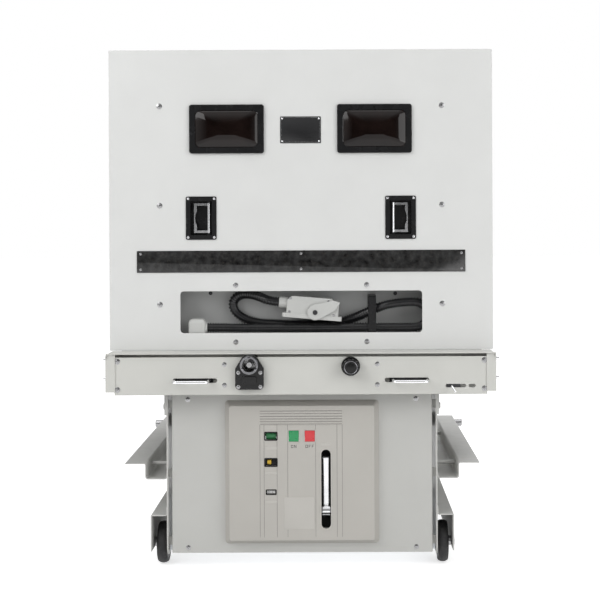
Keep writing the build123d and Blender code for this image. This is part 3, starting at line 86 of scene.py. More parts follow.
# ------------------------------------------------------------------ finishes
@dataclass(frozen=True)
class Finish:
    """One surface finish, made as a procedural material.

    Args:
        name: the finish's name.
        slot: material slot of the record; not used.
        colour: linear base colour.
        roughness: mean roughness.
        metallic: 1 for bare metal.
        texture: relief of the surface.
        mottle: share by which the colour drifts over the surface.
        drift_scale: size of that drift, in cells per metre.
        relief_scale: size of the relief, in cells per metre.
        relief: strength of the relief.
        coat: strength of a clear coat.
        grime: share of darker dust that settles in blotches.
        shine: specular level, 0.5 for ordinary paint and plastic.
    """

    name: str
    slot: str
    colour: Colour
    roughness: float = 0.45
    metallic: float = 0.0
    texture: Texture = Texture.SPRAYED
    mottle: float = 0.03
    drift_scale: float = 9.0
    relief_scale: float = 700.0
    relief: float = 0.06
    coat: float = 0.0
    grime: float = 0.0
    shine: float = 0.5

    def material(self) -> bpy.types.Material:
        """Returns the finish's material, made on first use."""
        known = bpy.data.materials.get(f"{self.name}_finish")
        return known or self._build()

    def _build(self) -> bpy.types.Material:
        """Builds the node tree.

        Returns:
            The new material.
        """
        made = bpy.data.materials.new(f"{self.name}_finish")
        made.use_nodes = True
        tree = made.node_tree
        shader = tree.nodes["Principled BSDF"]
        shader.inputs["Metallic"].default_value = self.metallic
        shader.inputs["Coat Weight"].default_value = self.coat
        shader.inputs["Coat Roughness"].default_value = 0.08
        shader.inputs["Specular IOR Level"].default_value = self.shine
        coordinates = tree.nodes.new("ShaderNodeTexCoord")
        drift = self._noise(tree, coordinates, self.drift_scale, 4.0)
        self._colour(tree, shader, drift, coordinates)
        self._roughness(tree, shader, coordinates)
        self._relief(tree, shader, coordinates)
        return made

    def _noise(self, tree: bpy.types.NodeTree, coordinates: bpy.types.Node, scale: float,
               detail: float, stretch: Point = (1.0, 1.0, 1.0)) -> bpy.types.Node:
        """Adds a noise texture in the object's own metres.

        Args:
            tree: tree to add to.
            coordinates: texture coordinate node.
            scale: cells per metre.
            detail: octaves.
            stretch: scale along each axis.

        Returns:
            The noise node.
        """
        mapping = tree.nodes.new("ShaderNodeMapping")
        mapping.inputs["Scale"].default_value = stretch
        tree.links.new(coordinates.outputs["Object"], mapping.inputs["Vector"])
        noise = tree.nodes.new("ShaderNodeTexNoise")
        noise.inputs["Scale"].default_value = scale
        noise.inputs["Detail"].default_value = detail
        tree.links.new(mapping.outputs["Vector"], noise.inputs["Vector"])
        return noise

    def _colour(self, tree: bpy.types.NodeTree, shader: bpy.types.Node, drift: bpy.types.Node,
                coordinates: bpy.types.Node) -> None:
        """Drives the base colour by slow drift and, where asked, by blotches of dust.

        Args:
            tree: tree to add to.
            shader: surface shader.
            drift: noise that drives the drift.
            coordinates: texture coordinate node.
        """
        ramp = tree.nodes.new("ShaderNodeValToRGB")
        low = tuple(c * (1 - self.mottle) for c in self.colour)
        high = tuple(min(1.0, c * (1 + self.mottle)) for c in self.colour)
        ramp.color_ramp.elements[0].position = 0.3
        ramp.color_ramp.elements[0].color = (*low, 1)
        ramp.color_ramp.elements[1].position = 0.7
        ramp.color_ramp.elements[1].color = (*high, 1)
        tree.links.new(drift.outputs["Fac"], ramp.inputs["Fac"])
        source = ramp.outputs["Color"]
        if self.grime:
            blotch = self._noise(tree, coordinates, self.drift_scale * 3.1, 8.0)
            reach = tree.nodes.new("ShaderNodeMapRange")
            reach.inputs["From Min"].default_value = 0.5
            reach.inputs["From Max"].default_value = 0.78
            reach.inputs["To Max"].default_value = self.grime
            tree.links.new(blotch.outputs["Fac"], reach.inputs["Value"])
            mix = tree.nodes.new("ShaderNodeMix")
            mix.data_type = "RGBA"
            tree.links.new(reach.outputs["Result"], mix.inputs["Factor"])
            tree.links.new(source, mix.inputs[6])
            mix.inputs[7].default_value = DUST
            source = mix.outputs[2]
        tree.links.new(source, shader.inputs["Base Color"])

    def _roughness(self, tree: bpy.types.NodeTree, shader: bpy.types.Node,
                   coordinates: bpy.types.Node) -> None:
        """Lets the gloss wander as handled and wiped surfaces do.

        Args:
            tree: tree to add to.
            shader: surface shader.
            coordinates: texture coordinate node.
        """
        noise = self._noise(tree, coordinates, 34.0, 6.0, BRUSH_STRETCH.get(self.texture, (1.0, 1.0, 1.0)))
        span = tree.nodes.new("ShaderNodeMapRange")
        span.inputs["From Min"].default_value = 0.25
        span.inputs["From Max"].default_value = 0.75
        span.inputs["To Min"].default_value = self.roughness * 0.84
        span.inputs["To Max"].default_value = min(1.0, self.roughness * 1.18)
        tree.links.new(noise.outputs["Fac"], span.inputs["Value"])
        tree.links.new(span.outputs["Result"], shader.inputs["Roughness"])

    def _relief(self, tree: bpy.types.NodeTree, shader: bpy.types.Node,
                coordinates: bpy.types.Node) -> None:
        """Adds the fine relief of the texture.

        Args:
            tree: tree to add to.
            shader: surface shader.
            coordinates: texture coordinate node.
        """
        bump = tree.nodes.new("ShaderNodeBump")
        bump.inputs["Strength"].default_value = self.relief
        bump.inputs["Distance"].default_value = 0.0004
        if self.texture in (Texture.SPANGLED, Texture.MOULDED):
            cells = tree.nodes.new("ShaderNodeTexVoronoi")
            cells.inputs["Scale"].default_value = self.relief_scale
            tree.links.new(coordinates.outputs["Object"], cells.inputs["Vector"])
            height = cells.outputs["Distance"]
        else:
            stretch = BRUSH_STRETCH.get(self.texture, (1.0, 1.0, 1.0))
            height = self._noise(tree, coordinates, self.relief_scale, 3.0, stretch).outputs["Fac"]
        tree.links.new(height, bump.inputs["Height"])
        tree.links.new(bump.outputs["Normal"], shader.inputs["Normal"])


CABINET_PAINT = Finish("cabinet_paint", "grey_cabinet_paint", (0.62, 0.625, 0.615), 0.42, mottle=0.015,
                       relief_scale=480, relief=0.10, coat=0.12)
# The crossbeam and the box take darker copies of the cabinet grey: painted shade on the beam and on the box
# recessed under it.
SHADED_BEAM_PAINT = Finish("shaded_beam_paint", "grey_cabinet_paint", (0.535, 0.535, 0.505), 0.44, mottle=0.02,
                    relief_scale=480, relief=0.10, coat=0.1)
SHADED_BOX_PAINT = Finish("shaded_box_paint", "grey_cabinet_paint", (0.475, 0.475, 0.455), 0.46, mottle=0.02,
                   relief_scale=480, relief=0.10, coat=0.08)
FRAME_PAINT = Finish("frame_paint", "truck_frame_paint", (0.50, 0.50, 0.485), 0.5, mottle=0.03,
                     relief_scale=420, relief=0.12, grime=0.06)
ZINC = Finish("zinc_plate", "zinc_plated_sheet", (0.62, 0.64, 0.66), 0.42, 1.0, Texture.SPANGLED, 0.08,
              24.0, 160, 0.05, grime=0.05)
BRIGHT_STEEL = Finish("bright_steel", "bright_steel", (0.74, 0.745, 0.76), 0.17, 1.0, Texture.BRUSHED_Z,
                      0.05, 30.0, 1500, 0.05)
BRIGHT_HANDLE = Finish("bright_handle", "bright_steel", (0.78, 0.785, 0.80), 0.14, 1.0, Texture.BRUSHED_X,
                       0.05, 30.0, 1500, 0.04)
SCREW_STEEL = Finish("screw_steel", "bright_steel", (0.36, 0.36, 0.365), 0.24, 1.0, Texture.CAST, 0.1,
                     90.0, 1800, 0.08)
DARK_CHROME = Finish("dark_chrome", "bright_steel", (0.20, 0.20, 0.21), 0.2, 1.0, Texture.CAST, 0.15,
                     60.0, 1200, 0.06)
BLACK_STEEL = Finish("black_steel", "black_phosphate_steel", (0.035, 0.035, 0.038), 0.42, 0.35,
                     Texture.CAST, 0.2, 60.0, 900, 0.12)
DARK_MOULDING = Finish("dark_moulding", "dark_moulding", (0.009, 0.009, 0.0095), 0.26,
                       texture=Texture.MOULDED, mottle=0.1, relief_scale=1500, relief=0.06, shine=0.25)
SMOKED_LENS = Finish("smoked_lens", "smoked_lens", (0.006, 0.0035, 0.003), 0.05, texture=Texture.POLISHED,
                     mottle=0.6, drift_scale=16.0, relief_scale=12, relief=0.02, shine=0.3)
MIRROR_STRIP = Finish("mirror_strip", "smoked_lens", (0.02, 0.02, 0.02), 0.09, texture=Texture.CAST,
                      mottle=0.7, drift_scale=55.0, relief_scale=60, relief=0.10, grime=0.12, shine=0.35)
PLATE_INK = Finish("plate_ink", "dark_moulding", (0.012, 0.012, 0.013), 0.3, texture=Texture.BRUSHED_X,
                   mottle=0.2, relief_scale=1400, relief=0.06)
# The tray's light grey is darkened to paint the shade inside the recessed tray.
SHADED_TRAY_PAINT = Finish("shaded_tray_paint", "light_grey_tray", (0.42, 0.425, 0.42), 0.38, mottle=0.05, relief_scale=480,
                    relief=0.1)
GREY_MOULDING = Finish("grey_moulding", "light_grey_moulding", (0.47, 0.475, 0.46), 0.4,
                       texture=Texture.MOULDED, mottle=0.04, relief_scale=900, relief=0.08)
CONDUIT_POLYMER = Finish("conduit_polymer", "conduit_polymer", (0.012, 0.012, 0.013), 0.24, mottle=0.3,
                         drift_scale=40.0, relief_scale=900, relief=0.04, shine=0.7)
FASCIA_MOULDING = Finish("fascia_moulding", "fascia_moulding", (0.435, 0.42, 0.39), 0.5,
                         texture=Texture.MOULDED, mottle=0.02, relief_scale=700, relief=0.12)
# A dark copy of the fascia moulding: painted shade for the grooves.
FASCIA_SHADE = Finish("fascia_shade", "fascia_moulding", (0.20, 0.19, 0.18), 0.55,
                      texture=Texture.MOULDED, mottle=0.02, relief_scale=700, relief=0.1)
# A lighter copy of the fascia moulding: painted light on the raised rims and fields.
FASCIA_PAINTED_LIGHT = Finish("fascia_painted_light", "fascia_moulding", (0.465, 0.45, 0.42), 0.45,
                      texture=Texture.MOULDED, mottle=0.02, relief_scale=700, relief=0.1)
GREEN_BUTTON = Finish("green_button", "green_button_polymer", (0.0, 0.24, 0.07), 0.28,
                      texture=Texture.MOULDED, mottle=0.08, drift_scale=60.0, relief_scale=1500,
                      relief=0.05, coat=0.3)
RED_BUTTON = Finish("red_button", "red_button_polymer", (0.56, 0.022, 0.03), 0.28, texture=Texture.MOULDED,
                    mottle=0.08, drift_scale=60.0, relief_scale=1500, relief=0.05, coat=0.3)
FLAG_GREEN = Finish("flag_green", "white_flag", (0.02, 0.15, 0.05), 0.4, texture=Texture.MOULDED,
                    mottle=0.1, relief_scale=1500, relief=0.05)
FLAG_YELLOW = Finish("flag_yellow", "white_flag", (0.55, 0.36, 0.03), 0.4, texture=Texture.MOULDED,
                     mottle=0.1, relief_scale=1500, relief=0.05)
EPOXY = Finish("red_brown_epoxy", "epoxy_insulation", (0.215, 0.052, 0.03), 0.2, texture=Texture.SPRAYED,
               mottle=0.10, drift_scale=14.0, relief_scale=55, relief=0.10, coat=0.5)
CERAMIC = Finish("glazed_ceramic", "interrupter_ceramic", (0.74, 0.73, 0.68), 0.14, mottle=0.03,
                 relief_scale=40, relief=0.05, coat=0.7)
SILVERED = Finish("silvered_copper", "silvered_copper", (0.76, 0.73, 0.69), 0.24, 1.0, Texture.CAST, 0.12,
                  22.0, 420, 0.07)
COPPER = Finish("copper_strap", "copper_strap", (0.66, 0.33, 0.18), 0.28, 1.0, Texture.BRUSHED_Z, 0.12,
                22.0, 900, 0.08)
SLEEVE = Finish("arm_sleeve", "sleeve_polymer", (0.17, 0.038, 0.024), 0.34, mottle=0.08, relief_scale=90,
                relief=0.10, coat=0.25)
SPRING_STEEL = Finish("spring_steel", "spring_steel", (0.11, 0.11, 0.115), 0.3, 0.9, Texture.CAST, 0.2,
                      60.0, 900, 0.1)
WHEEL_IRON = Finish("wheel_iron", "cast_wheel", (0.055, 0.055, 0.057), 0.45, 0.5, Texture.CAST, 0.2, 40.0,
                    380, 0.25)
TYRE = Finish("tyre_rubber", "cast_wheel", (0.016, 0.016, 0.017), 0.62, texture=Texture.MOULDED, mottle=0.25,
              drift_scale=50.0, relief_scale=900, relief=0.2, grime=0.12)
MOTOR_PAINT = Finish("motor_paint", "motor_paint", (0.05, 0.055, 0.06), 0.4, texture=Texture.CAST, mottle=0.1,
                     relief_scale=500, relief=0.15)
HUB_CASTING = Finish("hub_casting", "hub_casting", (0.009, 0.009, 0.0095), 0.26, texture=Texture.CAST,
                     mottle=0.2, relief_scale=520, relief=0.14, shine=0.35)
KNOB_POLYMER = Finish("knob_polymer", "knob_polymer", (0.008, 0.008, 0.0085), 0.24, texture=Texture.MOULDED,
                      mottle=0.15, relief_scale=1300, relief=0.05, shine=0.3)
INK_WHITE = Finish("ink_white", "light_grey_moulding", (0.75, 0.75, 0.74), 0.45, mottle=0.03)

NODE_FINISHES: dict[str, Finish] = {
    "side_plate_left": SHADED_BOX_PAINT, "side_plate_right": SHADED_BOX_PAINT, "box_front_plate": SHADED_BOX_PAINT,
    "box_base_plate": ZINC, "guide_rails": FRAME_PAINT, "wheel_housings": FRAME_PAINT,
    "hanger_angles": FRAME_PAINT, "rear_guide_pins": SCREW_STEEL, "wheel_axles": SCREW_STEEL,
    "chassis_frame": FRAME_PAINT, "deck_plate": FRAME_PAINT, "front_panel": CABINET_PAINT,
    "panel_posts": ZINC, "window_bezels": DARK_MOULDING, "handle_cups": DARK_MOULDING,
    "handle_bail_left": BRIGHT_STEEL, "handle_bail_right": BRIGHT_STEEL, "connector_tray": SHADED_TRAY_PAINT,
    "conduit_elbow": GREY_MOULDING, "conduit_clamp": DARK_MOULDING, "secondary_plug": GREY_MOULDING,
    "plug_lever": GREY_MOULDING, "mechanism_fascia": FASCIA_MOULDING, "open_button": RED_BUTTON,
    "close_button": GREEN_BUTTON, "position_flag": FLAG_GREEN, "charging_lever": BRIGHT_STEEL,
    "mechanism_plates": ZINC, "spring_pedestal": ZINC, "main_shaft": BLACK_STEEL, "camshaft": BLACK_STEEL,
    "closing_spring": SPRING_STEEL, "opening_spring": SPRING_STEEL, "charging_motor": MOTOR_PAINT,
    "auxiliary_switch": DARK_MOULDING, "insulating_cylinder_left": EPOXY,
    "insulating_cylinder_centre": EPOXY, "insulating_cylinder_right": EPOXY,
    "vacuum_interrupters": CERAMIC, "contact_arms": SILVERED, "arm_sleeves": SLEEVE,
    "tulip_contacts": SILVERED, "flexible_connectors": COPPER, "moving_stems": SILVERED,
    "drive_rods": EPOXY, "crossbeam_channel": SHADED_BEAM_PAINT, "crossbeam_front_plate": SHADED_BEAM_PAINT,
    "crank_hub": HUB_CASTING, "beam_guide_bars": SCREW_STEEL, "lock_slide_left": BRIGHT_HANDLE,
    "lock_slide_right": BRIGHT_HANDLE, "interlock_lever": BRIGHT_HANDLE, "selector_knob": KNOB_POLYMER,
}


# ------------------------------------------------------------------ mesh building
def facing(at: Point, outward: Point) -> Matrix:
    """Returns the place of a part that stands on a surface.

    Args:
        at: point on the surface, in millimetres.
        outward: direction that the part's own z axis takes.

    Returns:
        The matrix from the part's axes to the breaker's.
    """
    normal = Vector(outward).normalized()
    across = Vector((1, 0, 0)) if abs(normal.z) > 0.9 else Vector((0, 0, 1)).cross(normal).normalized()
    upward = normal.cross(across)
    turn = Matrix((across, upward, normal)).transposed()
    return Matrix.Translation(Vector(at)) @ turn.to_4x4()


def rounded_rectangle(width: float, height: float, corner: float,
                      steps: int = 5) -> list[tuple[float, float]]:
    """Returns the points of a rounded rectangle about the origin, anticlockwise.

    Args:
        width: size along x.
        height: size along y.
        corner: radius of its corners.
        steps: chords in each corner.

    Returns:
        The points, without a repeated first one.
    """
    points = []
    for quarter, (sx, sy) in enumerate(((1, 1), (-1, 1), (-1, -1), (1, -1))):
        cx, cy = sx * (width / 2 - corner), sy * (height / 2 - corner)
        for step in range(steps + 1):
            angle = math.pi / 2 * (quarter + step / steps)
            points.append((cx + corner * math.cos(angle), cy + corner * math.sin(angle)))
    return points


class Shape:
    """A mesh under construction, in millimetres."""

    def __init__(self) -> None:
        """Starts an empty mesh."""
        self.bm = bmesh.new()

    def ring(self, points: list[Vector]) -> list[bmesh.types.BMVert]:
        """Adds a closed row of vertices.

        Args:
            points: the row's points.

        Returns:
            The new vertices.
        """
        return [self.bm.verts.new(p) for p in points]

    def bridge(self, first: list[bmesh.types.BMVert], second: list[bmesh.types.BMVert]) -> None:
        """Joins two rows of equal length, or a row and a single point, with faces.

        Args:
            first: one row.
            second: the other row.
        """
        count = max(len(first), len(second))
        for i in range(count):
            j = (i + 1) % count
            corners = (first[i % len(first)], first[j % len(first)],
                       second[j % len(second)], second[i % len(second)])
            unique = list(dict.fromkeys(corners))
            if len(unique) > 2:
                self.bm.faces.new(unique)

    def loft(self, rows: list[list[Vector]], cap: bool = True) -> None:
        """Skins rows of points, one after another.

        Args:
            rows: closed rows with equal counts; a row of one point makes an apex.
            cap: closes the first and last rows.
        """
        made = [self.ring(row) for row in rows]
        for first, second in zip(made, made[1:]):
            self.bridge(first, second)
        if cap:
            for end in (made[0], made[-1]):
                if len(end) > 2:
                    self.bm.faces.new(end)

    def lathe(self, profile: list[tuple[float, float]], place: Matrix, segments: int = 32,
              start: float = 0.0) -> None:
        """Turns a profile about an axis.

        Args:
            profile: (radius, height) pairs; a profile that ends where it starts makes a ring.
            place: place whose z axis is the axis.
            segments: facets round the axis.
            start: angle of the first facet.
        """
        rows = []
        for radius, height in profile:
            if radius < 1e-6:
                rows.append([place @ Vector((0, 0, height))])
                continue
            angles = [start + math.tau * i / segments for i in range(segments)]
            rows.append([place @ Vector((radius * math.cos(a), radius * math.sin(a), height))
                         for a in angles])
        if profile[0] != profile[-1]:
            self.loft(rows)
            return
        self.loft(rows, cap=False)
        bmesh.ops.remove_doubles(self.bm, verts=self.bm.verts, dist=1e-5)

    def pad(self, width: float, height: float, corner: float, thickness: float, bevel: float,
            place: Matrix) -> None:
        """Adds a rounded rectangular pad with a bevelled top edge.

        Args:
            width: size along the place's x axis.
            height: size along its y axis.
            corner: radius of its corners.
            thickness: height along its z axis.
            bevel: width of the bevel.
            place: middle of the pad's foot.
        """
        sizes = ((0.0, 0.0), (0.0, thickness - bevel), (bevel * 0.3, thickness - bevel * 0.3),
                 (bevel, thickness))
        rows = []
        for inset, level in sizes:
            outline = rounded_rectangle(width - 2 * inset, height - 2 * inset, max(corner - inset, 0.2))
            rows.append([place @ Vector((x, y, level)) for x, y in outline])
        self.loft(rows)

    def frame_pad(self, outer: tuple[float, float, float], inner: tuple[float, float, float],
                  thickness: float, place: Matrix) -> None:
        """Adds a rounded rectangular ring.

        Args:
            outer: width, height and corner radius of its outside.
            inner: the same three of its inside.
            thickness: height along the place's z axis.
            place: middle of the ring's foot.
        """
        rows = []
        soft = thickness * 0.3
        for (width, height, corner), inset, level in (
                (outer, 0.0, 0.0), (outer, 0.0, thickness - soft), (outer, soft, thickness),
                (inner, -soft, thickness), (inner, 0.0, thickness - soft), (inner, 0.0, 0.0)):
            outline = rounded_rectangle(width - 2 * inset, height - 2 * inset, max(corner - inset, 0.3))
            rows.append([place @ Vector((x, y, level)) for x, y in outline])
        self.loft(rows + [rows[0]], cap=False)
        bmesh.ops.remove_doubles(self.bm, verts=self.bm.verts, dist=1e-4)

    def cross_screw(self, at: Point, outward: Point, radius: float = 4.2, height: float = 2.8,
                    turn: float = 0.3) -> None:
        """Adds a pan-head screw with a cross recess and a plain washer.

        Args:
            at: point under the washer.
            outward: direction that the head faces.
            radius: radius of the head.
            height: height of head and washer.
            turn: angle of the cross.
        """
        place = facing(at, outward) @ Matrix.Rotation(turn, 4, "Z")
        self.lathe([(radius * 1.5, 0), (radius * 1.5, 0.8), (radius * 1.42, 1.0), (0, 1.0)], place, 24)
        start = math.radians(15)
        angles = [start + math.tau * i / 12 for i in range(12)]
        rows = []
        for r, h in ((1.0, 1.0), (1.0, 0.55), (0.9, 0.82), (0.66, 1.0)):
            level = 1.0 + (height - 1.0) * (h if r < 1 or h < 1 else 0)
            rows.append([place @ Vector((radius * r * math.cos(a), radius * r * math.sin(a), level))
                         for a in angles])
        long, half = radius * 0.52, radius * 0.14
        cross = [(long, half), (half, half), (half, long), (-half, long), (-half, half), (-long, half),
                 (-long, -half), (-half, -half), (-half, -long), (half, -long), (half, -half), (long, -half)]
        rows.append([place @ Vector((x, y, height)) for x, y in cross])
        rows.append([place @ Vector((x * 0.8, y * 0.8, height - radius * 0.3)) for x, y in cross])
        self.loft(rows)

    def hex_bolt(self, at: Point, outward: Point, across: float = 13.0, height: float = 5.5,
                 turn: float = 0.2) -> None:
        """Adds a hexagon head with its washer and a chamfered crown.

        Args:
            at: point under the washer.
            outward: direction that the head faces.
            across: width across the flats.
            height: height of the head.
            turn: angle of the hexagon.
        """
        place = facing(at, outward) @ Matrix.Rotation(turn, 4, "Z")
        radius = across / math.sqrt(3)
        self.lathe([(radius * 1.3, 0), (radius * 1.3, 1.2), (radius * 1.24, 1.5), (0, 1.5)], place, 28)
        self.lathe([(radius, 1.5), (radius, 1.5 + height * 0.86), (radius * 0.86, 1.5 + height),
                    (0, 1.5 + height)], place, 6)

    def tube(self, path: list[Vector], radii: list[float], segments: int = 12) -> None:
        """Sweeps a round section along a path without twist.

        Args:
            path: the path's points.
            radii: radius at each point.
            segments: facets round the section.
        """
        rows = []
        side = Vector((0, 0, 1)) if abs((path[1] - path[0]).normalized().z) < 0.9 else Vector((0, 1, 0))
        for i, point in enumerate(path):
            ahead = path[min(i + 1, len(path) - 1)] - path[max(i - 1, 0)]
            along = ahead.normalized()
            side = (side - along * side.dot(along)).normalized()
            other = along.cross(side)
            rows.append([point + (side * math.cos(a) + other * math.sin(a)) * radii[i]
                         for a in (math.tau * k / segments for k in range(segments))])
        self.loft(rows)

    def piece(self, name: str, finish: Finish, body: Body) -> bpy.types.Object:
        """Turns the mesh into a named piece that rides on a body.

        Args:
            name: name of the piece.
            finish: its finish.
            body: body that carries it.

        Returns:
            The new object.
        """
        bmesh.ops.recalc_face_normals(self.bm, faces=self.bm.faces)
        bmesh.ops.scale(self.bm, vec=(MM, MM, MM), verts=self.bm.verts)
        mesh = bpy.data.meshes.new(name)
        self.bm.to_mesh(mesh)
        self.bm.free()
        mesh.polygons.foreach_set("use_smooth", [True] * len(mesh.polygons))
        mesh.set_sharp_from_angle(angle=SHARP)
        mesh.materials.append(finish.material())
        made = bpy.data.objects.new(name, mesh)
        bpy.context.scene.collection.objects.link(made)
        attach(made, body.value)
        log.info("piece %s on %s", name, body.value)
        return made


def corner_of(node: str) -> tuple[Vector, Vector]:
    """Returns a CAD node's lowest and highest corners, in millimetres.

    Args:
        node: name of the node.

    Returns:
        The two corners.
    """
    low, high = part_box(node)
    return low / MM, high / MM


# ------------------------------------------------------------------ upper front panel
@dataclass
class FrontPanel:
    """Screws, blank data plate, dark strip and handle-cup screws of the tall front panel."""

    side_screw_x: float = 405.0
    side_screw_z: tuple[float, ...] = (1331.0, 1046.0, 762.0)
    tray_screw_x: float = 188.0
    tray_screw_z: tuple[float, ...] = (817.0, 654.0)
    plate_size: tuple[float, float] = (117.0, 77.0)
    plate_z: float = 1262.0
    strip_size: tuple[float, float] = (942.0, 62.5)
    strip_z: float = 885.0
    cup_x: float = 286.0
    cup_z: float = 1010.0
    front: Point = (0.0, -1.0, 0.0)
    y: float = field(init=False)

    def __post_init__(self) -> None:
        """Takes the panel's front face from the frame."""
        self.y = corner_of("front_panel")[0].y

    def build(self) -> None:
        """Builds every piece of the panel."""
        self.build_screws()
        self.build_data_plate()
        self.build_strip()

    def build_screws(self) -> None:
        """Adds the panel's own screws and those of the two handle cups."""
        shape = Shape()
        turn = 0.2
        for side in (-1, 1):
            for z in self.side_screw_z:
                shape.cross_screw((side * self.side_screw_x, self.y, z), self.front, 5.4, 3.6, turn)
                turn += 0.7
            for z in self.tray_screw_z:
                shape.cross_screw((side * self.tray_screw_x, self.y, z), self.front, 5.0, 3.4, turn)
                turn += 0.7
        shape.piece("panel_screws", SCREW_STEEL, Body.TRUCK)
        cups = Shape()
        face = corner_of("handle_cups")[0].y
        for side in (-1, 1):
            for dx in (-37.5, 37.5):
                for dz in (-55.5, 55.5):
                    at = (side * self.cup_x + dx, face, self.cup_z + dz)
                    cups.cross_screw(at, self.front, 2.6, 1.9, turn)
                    turn += 0.5
        cups.piece("handle_cup_screws", BRIGHT_STEEL, Body.TRUCK)

    def build_data_plate(self) -> None:
        """Adds the bare data plate with its raised rim and rivets."""
        width, height = self.plate_size
        place = facing((0, self.y, self.plate_z), self.front)
        plate = Shape()
        plate.pad(width, height, 2.0, 1.2, 0.4, place)
        plate.piece("data_plate", PLATE_INK, Body.TRUCK)
        rim = Shape()
        raised = place @ Matrix.Translation((0, 0, 1.15))
        rim.frame_pad((width - 5, height - 5, 2.0), (width - 7, height - 7, 1.5), 0.35, raised)
        for dx in (-1, 1):
            for dz in (-1, 1):
                at = (dx * (width / 2 - 6), self.y - 1.1, self.plate_z + dz * (height / 2 - 6))
                rim.lathe([(2.4, 0), (2.2, 0.7), (1.2, 1.2), (0, 1.3)], facing(at, self.front), 16)
        rim.piece("data_plate_rim", BRIGHT_STEEL, Body.TRUCK)

    def build_strip(self) -> None:
        """Adds the dark glossy strip and its screws."""
        width, height = self.strip_size
        strip = Shape()
        strip.pad(width, height, 1.2, 2.6, 0.7, facing((0, self.y, self.strip_z), self.front))
        strip.piece("dark_strip", MIRROR_STRIP, Body.TRUCK)
        screws = Shape()
        turn = 0.1
        for x in (-width / 2 + 11, 0.0, width / 2 - 11):
            for dz in (-height / 2 + 9, height / 2 - 9):
                screws.cross_screw((x, self.y - 2.5, self.strip_z + dz), self.front, 2.6, 2.2, turn)
                turn += 0.6
        screws.piece("dark_strip_screws", SCREW_STEEL, Body.TRUCK)


@dataclass
class InspectionWindows:
    """Domed smoked covers that fill the two bezels."""

    pitch: float = 424.0
    z: float = 1265.0
    width: float = 179.6
    height: float = 105.6
    corner: float = 15.8
    steps: int = 14

    def build(self) -> None:
        """Builds both covers."""
        for side, word in ((-1, "left"), (1, "right")):
            self.build_cover(side, word)

    def build_cover(self, side: int, word: str) -> None:
        """Builds one domed cover.

        Args:
            side: -1 for the left, 1 for the right.
            word: name of that side.
        """
        low, high = corner_of("window_lenses")
        rim_y, depth = high.y - 6.0, high.y - 6.0 - low.y
        centre = side * self.pitch / 2
        outline = rounded_rectangle(self.width, self.height, self.corner, 8)
        shape = Shape()
        rows = [[Vector((centre + x, high.y, self.z + z)) for x, z in outline]]
        for step in range(self.steps):
            reach = math.cos(math.pi / 2 * step / self.steps)
            bulge = depth * (1 - reach ** 3.4)
            rows.append([Vector((centre + x * reach, rim_y - bulge, self.z + z * reach)) for x, z in outline])
        rows.append([Vector((centre, low.y, self.z))])
        shape.loft(rows)
        cover = shape.piece(f"window_cover_{word}", SMOKED_LENS, Body.TRUCK)
        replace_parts(cover, "window_lenses")


